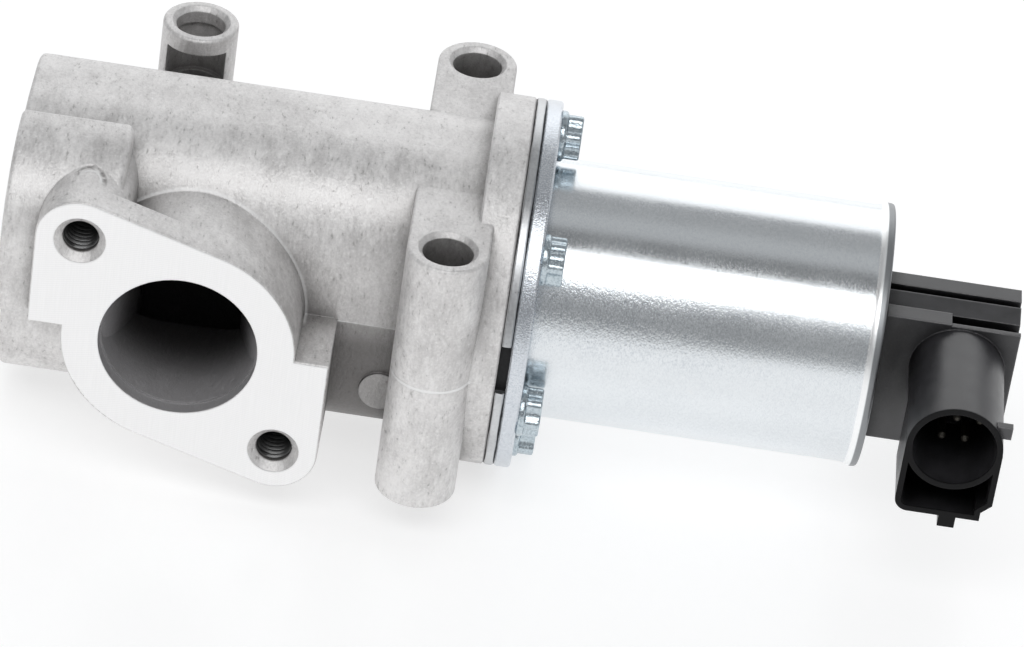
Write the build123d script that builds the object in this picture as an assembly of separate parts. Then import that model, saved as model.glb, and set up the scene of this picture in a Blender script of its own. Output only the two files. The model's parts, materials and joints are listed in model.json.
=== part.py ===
from build123d import *
from math import acos, atan2, cos, radians, sin, sqrt
import os

# Electric poppet valve for exhaust gas recirculation, in millimetres.
# X runs along the barrel, towards the connector head. Z is up, along the mounting bosses.
# The gas outlet flange faces -Y. The pieces are drawn about the valve axis, with X zero in the
# joint plane between housing and solenoid, then all move together to the part's own frame,
# whose origin is the middle of the outlet port in its flange face.

# Housing barrel
BARREL_LEFT_X = -95.0
BARREL_HALF_DEPTH = 22.0
BARREL_HALF_HEIGHT = 29.8
BARREL_CORNER_R = 18.0
END_PAD_HALF_DEPTH = 34.5
END_PAD_HALF_HEIGHT = 31.5
END_PAD_LENGTH = 21.4
END_PAD_REAR_Y = -14.0
END_PAD_EDGE_R = 1.5
BARREL_RIM_R = 1.0

# Joint flange towards the solenoid
JOINT_FLANGE_R = 35.6
JOINT_FLANGE_T = 7.4
JOINT_EDGE_CHAMFER = 0.4
SCREW_COUNT = 6
SCREW_EDGE_DISTANCE = 4.9
SCREW_FIRST_DEG = -13.0
SCREW_THREAD_R = 2.5
SCREW_CORE_CLEARANCE = 0.05
SCREW_HOLE_DEPTH = 5.6
SCREW_TIP_GAP = 0.4
SCREW_PASS_CLEARANCE = 0.3
SCREW_HEAD_R = 4.6
SCREW_HEAD_H = 4.2
SCREW_FLUTE_R = 1.05
SCREW_WASHER_R = 4.9
SCREW_WASHER_T = 0.9

# Gas outlet flange on the front
OUTLET_X = -59.75
OUTLET_FACE_Y = -38.3
OUTLET_PORT_R = 15.0
OUTLET_NECK_R = 22.1
OUTLET_LUG_R = 8.4
OUTLET_HOLE_DX = 20.12
OUTLET_HOLE_DZ = 20.45
OUTLET_FLANGE_T = 6.2
OUTLET_BOSS_LENGTH = 23.0
OUTLET_UPPER_STEP_Z = 0.9
OUTLET_LOWER_STEP_Z = 0.5
OUTLET_RIM_R = 0.5
OUTLET_THREAD_R = 3.4
OUTLET_THREAD_DEPTH = 17.0
OUTLET_CHAMFER_R = 4.95
OUTLET_STRAIGHT = 3.0
OUTLET_PASSAGE_R = 14.7
OUTLET_WINDOW_Y = -14.0

# Mounting bosses
BOSS_Y = 33.0
BOSS_HALF_HEIGHT = 27.25
BOSS_R = 7.7
BOSS_HOLE_R = 4.8
BOSS_HOLE_CHAMFER = 0.9
BOSS_LEFT_X = -66.6
BOSS_RIGHT_X = -12.3
BOSS_EDGE_R = 0.6
BOSS_WEB_ROOT_Y = 12.5
BOSS_WEB_CORNER_R = 2.0
LEFT_BOSS_R = 7.4
LEFT_BOSS_COLLAR = 3.4
LEFT_BOSS_WINDOW_HALF = 5.7
LEFT_BOSS_WEB_TOP = 13.0
SIDE_LUG_R = 4.0
SIDE_LUG_X = -21.6
SIDE_LUG_Z = -14.4
SIDE_LUG_REACH = 0.6

# Gas inlet and valve seat
INLET_R = 16.5
INLET_SPIGOT_R = 18.2
INLET_SPIGOT_DEPTH = 8.0
INLET_CHAMFER = 0.5
SEAT_LEFT_X = -76.5
SEAT_RING_R = 15.0
SEAT_RING_LENGTH = 6.0
SEAT_THROAT_R = 11.5
SEAT_CONE_RISE = 1.5
SEAT_SHOULDER_R = 13.0
CHAMBER_WIDTH = 20.0
CHAMBER_R = 17.5

# Poppet valve
STEM_R = 4.0
STEM_END_X = -3.0
HEAD_R = 13.5
HEAD_EDGE = 1.3
HEAD_TULIP_LENGTH = 4.5
HEAD_DISH_R = 8.5
HEAD_DISH_DEPTH = 1.0
SEAT_CLEARANCE = 0.15
KEEPER_GROOVE_DEPTH = 0.6
KEEPER_GROOVE_LENGTH = 1.2
KEEPER_GROOVE_FROM_END = 1.6
VALVE_STROKE = 6.0

# Stem guide, scraper and return spring
GUIDE_R = 7.0
GUIDE_PROUD = 2.2
GUIDE_FIT = 0.04
POCKET_R = 14.0
POCKET_DEPTH = 30.0
SCRAPER_R = 8.2
SCRAPER_LENGTH = 3.6
SCRAPER_LIP = 1.0
SPRING_SEAT_T = 1.0
SPRING_SEAT_R = 13.2
SPRING_SEAT_HOLE_R = 6.0
SPRING_WIRE_R = 1.0
SPRING_MEAN_R = 10.2
SPRING_TURNS = 5.0
RETAINER_T = 1.8
RETAINER_R = 12.6
RETAINER_HUB_R = 7.6
RETAINER_HUB_LENGTH = 4.2
KEEPER_SMALL_R = 5.2
KEEPER_LARGE_R = 6.0
KEEPER_FIT = 0.03
KEEPER_SPLIT = 0.5

# Gasket and mounting plate
GASKET_T = 2.0
GASKET_HOLE_R = 16.0
GASKET_SLOT_DEG = 84.6
GASKET_SLOT_SPAN_DEG = 16.3
GASKET_SLOT_DEPTH = 2.2
PLATE_T = 3.2
PLATE_HOLE_R = 13.0

# Solenoid can
CAN_SCREW_GAP = 0.8
CAN_WALL = 2.0
CAN_END_X = 70.9
CAN_LIP_RISE = 0.6
CAN_LIP_T = 2.0
CAN_LIP_FLARE = 0.9
CAN_CRIMP_REACH = 1.6
CAN_FIT = 0.1

# Magnet circuit inside the can
POLE_FLANGE_R = 16.0
POLE_FLANGE_T = 3.0
POLE_FACE_X = 31.0
POLE_NOSE = 5.0
POLE_RECESS_MOUTH_R = 8.8
POLE_RECESS_FLOOR_R = 6.6
POLE_RECESS_DEPTH = 2.5
ARMATURE_TIP_R = 6.0
ARMATURE_TIP_ROOT_R = 8.0
ARMATURE_TIP_LENGTH = 2.0
SLEEVE_R = 11.4
SLEEVE_WALL = 0.8
SLEEVE_END_GAP = 1.3
ARMATURE_FIT = 0.1
ARMATURE_REST_GAP = 0.5
ARMATURE_END_GAP = 2.0
ARMATURE_VENT_R = 1.2
ARMATURE_VENT_CIRCLE_R = 7.0
ROD_R = 3.0
ROD_REACH = 3.4
ROD_FIT = 0.04
CONTACT_GAP = 0.1
CORE_BUSH_R = 5.0
CORE_BUSH_LENGTH = 10.0
REAR_BUSH_DEPTH = 2.0
REAR_BUSH_LENGTH = 3.0
YOKE_END_GAP = 0.1
YOKE_T = 4.0
BOBBIN_BORE_GAP = 0.15
BOBBIN_TUBE_T = 1.8
BOBBIN_CAN_GAP = 0.8
BOBBIN_FLANGE_T = 2.2
BOBBIN_END_GAP = 0.2
LEAD_WIDTH = 2.4
LEAD_T = 0.8
LEAD_Y = 4.0
LEAD_Z = -15.0
LEAD_REACH = 0.1
WINDING_RIM = 0.8
WINDING_END_GAP = 0.2
O_RING_WIRE_R = 0.8
POLE_O_RING_R = 14.5
HEAD_O_RING_INSET = 3.2
SEAT_FIT = 0.05

# Sensor head and connector
HEAD_BASE_GAP = 0.4
HEAD_BASE_DEPTH = 3.6
BLOCK_CAN_GAP = 0.5
BLOCK_LENGTH = 25.6
BLOCK_FRONT_Y = -13.4
BLOCK_REAR_Y = 12.0
BLOCK_HALF_HEIGHT = 14.3
BLOCK_CREST_Y = 1.3
BLOCK_KEEL_Y = 4.0
BLOCK_REAR_TOP_Z = 7.0
CREST_WIDTH = 4.1
GROOVE_DEPTH = 1.6
GROOVE_WIDTH = 1.4
SLOPE_WIDTH = 4.4
SLOPE_TOP_DROP = 0.4
SLOPE_LOW_DROP = 1.5
RECESS_DEPTH = 3.4
RIDGE_WIDTH = 1.1
RIDGE_DROP = 0.7
COVER_T = 2.0
CAVITY_WALL = 1.2
CAVITY_FRONT_Y = -9.0
CAVITY_REAR_Y = 9.6
CAVITY_TOP_Z = 9.8
CAVITY_BOTTOM_Z = -10.4
CAVITY_SLOPE_Y = 1.0
CAVITY_KEEL_Y = 4.2
CAVITY_REAR_Z = 4.4
COVER_LAP = 1.3
COVER_INSET = 0.4
COVER_PIN_R = 2.4
COVER_PIN_LENGTH = 2.0
ROD_PASSAGE_R = 4.0
SOCKET_FROM_BLOCK = 14.9
SOCKET_Z = 4.05
SOCKET_R = 9.05
SOCKET_WALL = 1.15
SOCKET_MOUTH_Y = -39.9
SOCKET_FLOOR_Y = -20.0
SKIRT_BOTTOM_Z = -11.3
SKIRT_LENGTH = 14.0
SKIRT_WALL = 1.1
SKIRT_CORNER_R = 2.6
SKIRT_NOTCH = 1.9
SKIRT_TAB_WIDTH = 3.2
SKIRT_TAB_DROP = 2.4
SKIRT_TAB_LENGTH = 5.0
SIDE_TAB_Z = 8.6
SIDE_TAB_REACH = 1.0
SIDE_TAB_LENGTH = 1.6
LUG_LENGTH = 12.4
LUG_TOP_Z = 13.9
LUG_DEPTH = 4.0
PIN_R = 0.75
PIN_TIP_Y = -33.0
PIN_ROW_DZ = 4.4
PIN_PITCH = 4.4

# Position sensor inside the head
PLUNGER_R = 2.8
CARRIAGE_REST_GAP = 0.6
CARRIAGE_LENGTH = 8.6
CARRIAGE_HALF_HEIGHT = 5.2
CARRIAGE_HALF_DEPTH = 5.0
SENSOR_SPRING_WIRE_R = 0.35
SENSOR_SPRING_R = 3.2
SENSOR_SPRING_TURNS = 6.0
SENSOR_SPRING_SEAT_DEPTH = 3.0
TRACK_T = 1.0
TRACK_FRONT_Y = -8.0
TRACK_REAR_Y = 3.8
TRACK_START_GAP = 0.8
TRACK_END_GAP = 1.0
WIPER_T = 0.3
WIPER_GAP = 0.3
WIPER_FINGER_WIDTH = 1.4
WIPER_FINGER_Z = 2.6

# Places that follow from the sizes above
SCREW_CIRCLE_R = JOINT_FLANGE_R - SCREW_EDGE_DISTANCE
PLATE_START_X = GASKET_T
CAN_START_X = GASKET_T + PLATE_T
SEAT_RIGHT_X = SEAT_LEFT_X + SEAT_RING_LENGTH
CHAMBER_START_X = OUTLET_X - CHAMBER_WIDTH / 2
CHAMBER_END_X = OUTLET_X + CHAMBER_WIDTH / 2
POCKET_FLOOR_X = -POCKET_DEPTH
SCRAPER_START_X = POCKET_FLOOR_X - SCRAPER_LENGTH
SPRING_START_X = POCKET_FLOOR_X + SPRING_SEAT_T
RETAINER_END_X = STEM_END_X - 0.6
RETAINER_START_X = RETAINER_END_X - RETAINER_HUB_LENGTH
SPRING_END_X = RETAINER_END_X - RETAINER_T
CAN_R = SCREW_CIRCLE_R - SCREW_WASHER_R - CAN_SCREW_GAP
CAN_INNER_R = CAN_R - CAN_WALL
CAN_LIP_R = CAN_R + CAN_LIP_RISE
CAN_LIP_INNER_R = CAN_INNER_R - CAN_CRIMP_REACH
BLOCK_START_X = CAN_END_X + BLOCK_CAN_GAP
BLOCK_END_X = BLOCK_START_X + BLOCK_LENGTH
CAVITY_START_X = BLOCK_START_X + CAVITY_WALL
SOCKET_X = BLOCK_START_X + SOCKET_FROM_BLOCK
HEAD_BASE_R = CAN_INNER_R - HEAD_BASE_GAP
HEAD_BASE_START_X = CAN_END_X - HEAD_BASE_DEPTH
HEAD_O_RING_R = HEAD_BASE_R - HEAD_O_RING_INSET
YOKE_START_X = HEAD_BASE_START_X - YOKE_END_GAP - YOKE_T
SLEEVE_END_X = HEAD_BASE_START_X - SLEEVE_END_GAP
REAR_BUSH_START_X = SLEEVE_END_X - REAR_BUSH_DEPTH
BOBBIN_FLANGE_R = CAN_INNER_R - BOBBIN_CAN_GAP
WINDING_R = BOBBIN_FLANGE_R - WINDING_RIM
LEAD_END_X = CAN_END_X + LEAD_REACH
ROD_END_X = CAVITY_START_X + ROD_REACH
SLEEVE_INNER_R = SLEEVE_R - SLEEVE_WALL
SLEEVE_START_X = POLE_FACE_X - POLE_NOSE
ARMATURE_START_X = POLE_FACE_X + VALVE_STROKE + ARMATURE_REST_GAP
ARMATURE_LENGTH = REAR_BUSH_START_X - ARMATURE_END_GAP - ARMATURE_START_X
POLE_FLANGE_END_X = CAN_START_X + POLE_FLANGE_T
BOBBIN_START_X = POLE_FLANGE_END_X + BOBBIN_END_GAP
BOBBIN_END_X = YOKE_START_X - BOBBIN_END_GAP
CAN_LIP_START_X = CAN_END_X - CAN_LIP_T
CRIMP_START_X = CAN_END_X - CAN_WALL / 2
ROD_START_X = STEM_END_X + CONTACT_GAP
PLUNGER_START_X = ROD_END_X + CONTACT_GAP
CARRIAGE_START_X = CAVITY_START_X + VALVE_STROKE + CARRIAGE_REST_GAP
COVER_START_X = BLOCK_END_X - COVER_T - COVER_INSET
TRACK_START_X = CAVITY_START_X + TRACK_START_GAP
TRACK_END_X = COVER_START_X - TRACK_END_GAP


def disc(radius, start_x, length, y=0.0, z=0.0):
    # A cylinder along X, from start_x to start_x + length.
    return extrude(Plane.YZ.offset(start_x) * Pos(y, z) * Circle(radius), length)


def ring(outer_r, inner_r, start_x, length):
    # A plain ring about the valve axis.
    return disc(outer_r, start_x, length) - disc(inner_r, start_x, length)


def upright(radius, x, y, z_low, z_high):
    # A cylinder along Z.
    return extrude(Plane.XY.offset(z_low) * Pos(x, y) * Circle(radius), z_high - z_low)


def facing(radius, x, z, y_front, y_back):
    # A cylinder along Y.
    return extrude(Plane.XZ.offset(-y_front) * Pos(x, z) * Circle(radius), y_front - y_back)


def block(x_low, x_high, y_low, y_high, z_low, z_high):
    # A right-angled block between two corners.
    corner = (Align.MIN, Align.MIN, Align.MIN)
    return Pos(x_low, y_low, z_low) * Box(x_high - x_low, y_high - y_low, z_high - z_low, align=corner)


def turned(*points):
    # A solid of revolution about the X axis, from a closed outline of (x, radius) points.
    return revolve(make_face(Polyline(*points, close=True)), axis=Axis.X)


def prism(points, start_x, length):
    # A straight bar along X with a closed outline of (y, z) points.
    outline = make_face(Polyline(*points, close=True))
    return extrude(Plane.YZ.offset(start_x) * outline, length)


def around(angle_deg, radius):
    # The (y, z) place at an angle measured from +Z towards -Y.
    return (-radius * sin(radians(angle_deg)), radius * cos(radians(angle_deg)))


def gathered(pieces):
    # Several alike solids as one piece.
    return sum(pieces[1:], pieces[0])


def screw_places():
    # The (y, z) places of the joint screws, evenly spaced on their circle.
    step = 360.0 / SCREW_COUNT
    return [around(SCREW_FIRST_DEG + step * index, SCREW_CIRCLE_R) for index in range(SCREW_COUNT)]


def screw_bores(radius, start_x, length):
    # One hole for each joint screw.
    return gathered([disc(radius, start_x, length, y, z) for y, z in screw_places()])


def o_ring(x, mean_r):
    # A rubber ring about the valve axis.
    return revolve(Pos(x, mean_r) * Circle(O_RING_WIRE_R), axis=Axis.X)


def coil_spring(start_x, end_x, mean_r, wire_r, turns):
    # A round wire wound about the X axis, between two flat seats.
    length = end_x - start_x - 2 * wire_r
    path = Helix(pitch=length / turns, height=length, radius=mean_r)
    wire = sweep(Plane(origin=path @ 0, z_dir=path % 0) * Circle(wire_r), path=path)
    return Pos(start_x + wire_r, 0, 0) * Rot(0, 90, 0) * wire


def softened(body, edges, radius):
    # Rounds edges, and leaves them sharp where the radius doesn't fit.
    try:
        rounded = fillet(edges, radius)
    except ValueError:
        return body
    return rounded if rounded.is_valid else body


def outlet_lug(step_z):
    # The outline of the upper lug: round above, square down to its step near the parting plane.
    height = OUTLET_HOLE_DZ - step_z
    foot = Pos(-OUTLET_HOLE_DX, step_z + height / 2) * Rectangle(2 * OUTLET_LUG_R, height)
    return foot + Pos(-OUTLET_HOLE_DX, OUTLET_HOLE_DZ) * Circle(OUTLET_LUG_R)


def outlet_web(step_z):
    # The outline of the web between neck and upper lug, with one edge tangent to both.
    span = sqrt(OUTLET_HOLE_DX**2 + OUTLET_HOLE_DZ**2)
    lug_angle = atan2(OUTLET_HOLE_DZ, -OUTLET_HOLE_DX)
    normal = lug_angle - acos((OUTLET_NECK_R - OUTLET_LUG_R) / span)
    neck_touch = (OUTLET_NECK_R * cos(normal), OUTLET_NECK_R * sin(normal))
    lug_touch = (
        OUTLET_LUG_R * cos(normal) - OUTLET_HOLE_DX,
        OUTLET_LUG_R * sin(normal) + OUTLET_HOLE_DZ,
    )
    middle = (-OUTLET_HOLE_DX, OUTLET_HOLE_DZ)
    foot = (-OUTLET_HOLE_DX, step_z)
    return make_face(Polyline((0, step_z), neck_touch, lug_touch, middle, foot, close=True))


def outlet_flange():
    # The neck and two lugs, opposite each other, that reach the barrel, and the webs between them.
    # The lower lug is the upper one turned half round, with its own step.
    half_turn = Rot(0, 0, 180)
    lugs = Circle(OUTLET_NECK_R)
    lugs += outlet_lug(OUTLET_UPPER_STEP_Z)
    lugs += half_turn * outlet_lug(-OUTLET_LOWER_STEP_Z)
    webs = outlet_web(OUTLET_UPPER_STEP_Z) + half_turn * outlet_web(-OUTLET_LOWER_STEP_Z)
    face = Plane.XZ.offset(-OUTLET_FACE_Y) * Pos(OUTLET_X, 0)
    flange = extrude(face * (lugs + webs), -OUTLET_FLANGE_T)
    flange += extrude(face * lugs, -OUTLET_BOSS_LENGTH)
    rim = flange.edges().group_by(Axis.Y)[0]
    return softened(flange, rim, OUTLET_RIM_R)


def end_pad():
    # The thicker front of the barrel at the inlet end, above the parting plane.
    section = RectangleRounded(2 * END_PAD_HALF_DEPTH, 2 * END_PAD_HALF_HEIGHT, BARREL_CORNER_R)
    pad = extrude(Plane.YZ.offset(BARREL_LEFT_X) * section, END_PAD_LENGTH)
    end_x = BARREL_LEFT_X + END_PAD_LENGTH
    front = block(BARREL_LEFT_X, end_x, -END_PAD_HALF_DEPTH, END_PAD_REAR_Y, 0, END_PAD_HALF_HEIGHT)
    pad = pad & front
    pad = softened(pad, pad.faces().sort_by(Axis.X)[-1].edges(), END_PAD_EDGE_R)
    return softened(pad, pad.faces().sort_by(Axis.X)[0].edges(), BARREL_RIM_R)


def left_boss():
    # The boss beside the valve chamber, for a through bolt along Z.
    boss = upright(LEFT_BOSS_R, BOSS_LEFT_X, BOSS_Y, -BOSS_HALF_HEIGHT, BOSS_HALF_HEIGHT)
    return softened(boss, boss.edges().filter_by(GeomType.CIRCLE), BOSS_EDGE_R)


def right_boss():
    # The front boss beside the joint flange, with the web that joins it to the barrel.
    depth = BOSS_Y - BOSS_WEB_ROOT_Y
    web = Pos(BOSS_RIGHT_X, -BOSS_Y + depth / 2) * Rectangle(2 * BOSS_R, depth)
    web = fillet(web.vertices().sort_by(Axis.Y)[-2:], BOSS_WEB_CORNER_R)
    outline = web + Pos(BOSS_RIGHT_X, -BOSS_Y) * Circle(BOSS_R)
    boss = extrude(Plane.XY.offset(-BOSS_HALF_HEIGHT) * outline, 2 * BOSS_HALF_HEIGHT)
    levels = boss.edges().group_by(Axis.Z)
    return softened(boss, levels[0] + levels[-1], BOSS_EDGE_R)


def mounting_bolt_hole(x, y):
    # The through hole of a boss, chamfered at both faces.
    outer = BOSS_HOLE_R + BOSS_HOLE_CHAMFER
    face = BOSS_HALF_HEIGHT
    edge = face - BOSS_HOLE_CHAMFER
    points = [(0, -face), (outer, -face), (BOSS_HOLE_R, -edge), (BOSS_HOLE_R, edge), (outer, face), (0, face)]
    profile = make_face(Plane.XZ * Polyline(*points, close=True))
    return Pos(x, y, 0) * revolve(profile, axis=Axis.Z)


def left_boss_web():
    # The flat wall that joins the left boss to the barrel, below its collar.
    x_low = BOSS_LEFT_X - LEFT_BOSS_R
    x_high = BOSS_LEFT_X + LEFT_BOSS_R
    return block(x_low, x_high, BARREL_HALF_DEPTH / 2, BOSS_Y, -BOSS_HALF_HEIGHT, LEFT_BOSS_WEB_TOP)


def left_boss_window():
    # The opening below the left boss's collar, with a round back wall.
    z_high = BOSS_HALF_HEIGHT - LEFT_BOSS_COLLAR
    half = LEFT_BOSS_WINDOW_HALF
    core = upright(half, BOSS_LEFT_X, BOSS_Y, LEFT_BOSS_WEB_TOP, z_high)
    front = BOSS_Y - 2 * LEFT_BOSS_R
    return core + block(BOSS_LEFT_X - half, BOSS_LEFT_X + half, front, BOSS_Y, LEFT_BOSS_WEB_TOP, z_high)


def outlet_passage():
    # The machined port, then a cast passage whose draft walls narrow to the valve chamber's width.
    inner_y = -CHAMBER_R / 2
    straight_y = OUTLET_FACE_Y + OUTLET_STRAIGHT
    port = facing(OUTLET_PORT_R, OUTLET_X, 0, OUTLET_FACE_Y, straight_y)
    core = facing(OUTLET_PASSAGE_R, OUTLET_X, 0, straight_y, inner_y)
    half = CHAMBER_WIDTH / 2
    outline = [
        (OUTLET_X + OUTLET_PASSAGE_R, straight_y),
        (OUTLET_X + half, OUTLET_WINDOW_Y),
        (OUTLET_X + half, inner_y),
        (OUTLET_X - half, inner_y),
        (OUTLET_X - half, OUTLET_WINDOW_Y),
        (OUTLET_X - OUTLET_PASSAGE_R, straight_y),
    ]
    walls = extrude(make_face(Polyline(*outline, close=True)), OUTLET_PASSAGE_R, both=True)
    return port + (core & walls)


def outlet_thread(x, z):
    # A blind threaded hole in the outlet flange, with a wide chamfer.
    chamfer_end = OUTLET_CHAMFER_R - OUTLET_THREAD_R
    points = [
        (0, 0),
        (OUTLET_CHAMFER_R, 0),
        (OUTLET_THREAD_R, chamfer_end),
        (OUTLET_THREAD_R, OUTLET_THREAD_DEPTH),
        (0, OUTLET_THREAD_DEPTH + OUTLET_THREAD_R / 2),
    ]
    drill = revolve(make_face(Polyline(*points, close=True)), axis=Axis.Y)
    return Pos(x, OUTLET_FACE_Y, z) * drill


def valve_bores():
    # Everything machined along the valve axis, from the inlet to the joint face.
    mouth = BARREL_LEFT_X
    cuts = turned(
        (mouth, 0),
        (mouth, INLET_SPIGOT_R + INLET_CHAMFER),
        (mouth + INLET_CHAMFER, INLET_SPIGOT_R),
        (mouth + INLET_SPIGOT_DEPTH, INLET_SPIGOT_R),
        (mouth + INLET_SPIGOT_DEPTH, INLET_R),
        (SEAT_LEFT_X, INLET_R),
        (SEAT_LEFT_X, SEAT_RING_R),
        (SEAT_RIGHT_X, SEAT_RING_R),
        (SEAT_RIGHT_X, SEAT_SHOULDER_R),
        (CHAMBER_START_X, SEAT_SHOULDER_R),
        (CHAMBER_START_X, CHAMBER_R),
        (CHAMBER_END_X, CHAMBER_R),
        (CHAMBER_END_X, GUIDE_R),
        (SCRAPER_START_X, GUIDE_R),
        (SCRAPER_START_X, SCRAPER_R),
        (POCKET_FLOOR_X, SCRAPER_R),
        (POCKET_FLOOR_X, POCKET_R),
        (0, POCKET_R),
        (0, 0),
    )
    return cuts


def valve_housing():
    # The die-cast housing with its outlet flange, three bosses and joint flange.
    section = RectangleRounded(2 * BARREL_HALF_DEPTH, 2 * BARREL_HALF_HEIGHT, BARREL_CORNER_R)
    barrel = extrude(Plane.YZ.offset(BARREL_LEFT_X) * section, -BARREL_LEFT_X)
    barrel = softened(barrel, barrel.faces().sort_by(Axis.X)[0].edges(), BARREL_RIM_R)
    joint = disc(JOINT_FLANGE_R, -JOINT_FLANGE_T, JOINT_FLANGE_T)
    joint = chamfer(joint.edges().filter_by(GeomType.CIRCLE), JOINT_EDGE_CHAMFER)
    body = barrel + end_pad() + joint + outlet_flange()
    body += right_boss() + Rot(180, 0, 0) * right_boss()
    body += left_boss() + left_boss_web()
    lug_y = -BARREL_HALF_DEPTH - SIDE_LUG_REACH
    body += facing(SIDE_LUG_R, SIDE_LUG_X, SIDE_LUG_Z, lug_y, -BARREL_HALF_DEPTH / 2)
    body -= valve_bores()
    body -= screw_bores(SCREW_THREAD_R + SCREW_CORE_CLEARANCE, -SCREW_HOLE_DEPTH, SCREW_HOLE_DEPTH)
    body -= outlet_passage()
    body -= outlet_thread(OUTLET_X - OUTLET_HOLE_DX, OUTLET_HOLE_DZ)
    body -= outlet_thread(OUTLET_X + OUTLET_HOLE_DX, -OUTLET_HOLE_DZ)
    body -= left_boss_window()
    for x, y in ((BOSS_LEFT_X, BOSS_Y), (BOSS_RIGHT_X, BOSS_Y), (BOSS_RIGHT_X, -BOSS_Y)):
        body -= mounting_bolt_hole(x, y)
    return body


def seat_ring():
    # The hard ring pressed in the housing, with a conical seat towards the inlet.
    return turned(
        (SEAT_LEFT_X, SEAT_THROAT_R + SEAT_CONE_RISE),
        (SEAT_LEFT_X, SEAT_RING_R),
        (SEAT_RIGHT_X, SEAT_RING_R),
        (SEAT_RIGHT_X, SEAT_THROAT_R),
        (SEAT_LEFT_X + SEAT_CONE_RISE, SEAT_THROAT_R),
    )


def poppet_valve():
    # The valve head and stem, turned in one piece, closed against the seat at rest.
    drop = SEAT_CLEARANCE * sqrt(2)
    cone_x = SEAT_LEFT_X + SEAT_CONE_RISE
    cone_r = SEAT_THROAT_R - drop
    edge_x = cone_x - (HEAD_R - cone_r)
    face_x = edge_x - HEAD_EDGE
    tulip_x = cone_x + HEAD_TULIP_LENGTH
    groove_end = STEM_END_X - KEEPER_GROOVE_FROM_END
    groove_start = groove_end - KEEPER_GROOVE_LENGTH
    groove_r = STEM_R - KEEPER_GROOVE_DEPTH
    valve = turned(
        (face_x, 0),
        (face_x, HEAD_R - 0.4),
        (face_x + 0.4, HEAD_R),
        (edge_x, HEAD_R),
        (cone_x, cone_r),
        (cone_x + 0.6, cone_r - 1.6),
        (cone_x + 1.6, STEM_R + 2.2),
        (cone_x + 2.9, STEM_R + 0.7),
        (tulip_x, STEM_R),
        (groove_start, STEM_R),
        (groove_start, groove_r),
        (groove_end, groove_r),
        (groove_end, STEM_R),
        (STEM_END_X - 0.4, STEM_R),
        (STEM_END_X, STEM_R - 0.4),
        (STEM_END_X, 0),
    )
    dish = turned(
        (face_x, 0),
        (face_x, HEAD_DISH_R),
        (face_x + HEAD_DISH_DEPTH, HEAD_DISH_R - 2 * HEAD_DISH_DEPTH),
        (face_x + HEAD_DISH_DEPTH, 0),
    )
    return valve - dish


def stem_guide():
    # The bush that carries the stem, pressed in from the chamber side.
    start_x = CHAMBER_END_X - GUIDE_PROUD
    return ring(GUIDE_R, STEM_R + GUIDE_FIT, start_x, SCRAPER_START_X - start_x)


def stem_scraper():
    # The stem seal: a cup with a lip that wipes soot from the stem.
    bore = STEM_R + GUIDE_FIT
    lip_end = SCRAPER_START_X + SCRAPER_LIP
    return turned(
        (SCRAPER_START_X, bore),
        (SCRAPER_START_X, SCRAPER_R),
        (POCKET_FLOOR_X, SCRAPER_R),
        (POCKET_FLOOR_X, SCRAPER_R - SCRAPER_LIP),
        (lip_end, SCRAPER_R - 2 * SCRAPER_LIP),
        (lip_end, bore),
    )


def spring_seat():
    # The hard washer under the return spring.
    return ring(SPRING_SEAT_R, SPRING_SEAT_HOLE_R, POCKET_FLOOR_X, SPRING_SEAT_T)


def return_spring():
    # The spring that closes the valve.
    return coil_spring(SPRING_START_X, SPRING_END_X, SPRING_MEAN_R, SPRING_WIRE_R, SPRING_TURNS)


def spring_retainer():
    # The cup on the stem that takes the spring, with a conical bore for the keepers.
    return turned(
        (RETAINER_START_X, KEEPER_SMALL_R + KEEPER_FIT),
        (RETAINER_START_X, RETAINER_HUB_R),
        (SPRING_END_X, RETAINER_HUB_R),
        (SPRING_END_X, RETAINER_R),
        (RETAINER_END_X, RETAINER_R),
        (RETAINER_END_X, KEEPER_LARGE_R + KEEPER_FIT),
    )


def valve_keepers():
    # Two half cones that lock the retainer on the stem's groove.
    groove_end = STEM_END_X - KEEPER_GROOVE_FROM_END
    groove_start = groove_end - KEEPER_GROOVE_LENGTH
    bore = STEM_R + KEEPER_FIT
    cone = turned(
        (RETAINER_START_X, bore),
        (RETAINER_START_X, KEEPER_SMALL_R),
        (RETAINER_END_X, KEEPER_LARGE_R),
        (RETAINER_END_X, bore),
        (groove_end - KEEPER_FIT, bore),
        (groove_end - KEEPER_FIT, bore - KEEPER_GROOVE_DEPTH),
        (groove_start + KEEPER_FIT, bore - KEEPER_GROOVE_DEPTH),
        (groove_start + KEEPER_FIT, bore),
    )
    half = KEEPER_SPLIT / 2
    reach = 2 * KEEPER_LARGE_R
    return cone - block(RETAINER_START_X, RETAINER_END_X, -reach, reach, -half, half)


def housing_gasket():
    # The thick gasket in the joint, with a slot in its rim that shows it is fitted.
    slot = [around(GASKET_SLOT_DEG + step * GASKET_SLOT_SPAN_DEG / 2, JOINT_FLANGE_R + 1) for step in (-1, 1)]
    floor_r = JOINT_FLANGE_R - GASKET_SLOT_DEPTH
    slot += [around(GASKET_SLOT_DEG + step * GASKET_SLOT_SPAN_DEG / 2, floor_r) for step in (1, -1)]
    gasket = disc(JOINT_FLANGE_R, 0, GASKET_T)
    gasket = chamfer(gasket.edges().filter_by(GeomType.CIRCLE), JOINT_EDGE_CHAMFER)
    gasket -= disc(GASKET_HOLE_R, 0, GASKET_T)
    gasket -= screw_bores(SCREW_THREAD_R + SCREW_PASS_CLEARANCE, 0, GASKET_T)
    return gasket - prism(slot, 0, GASKET_T)


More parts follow.
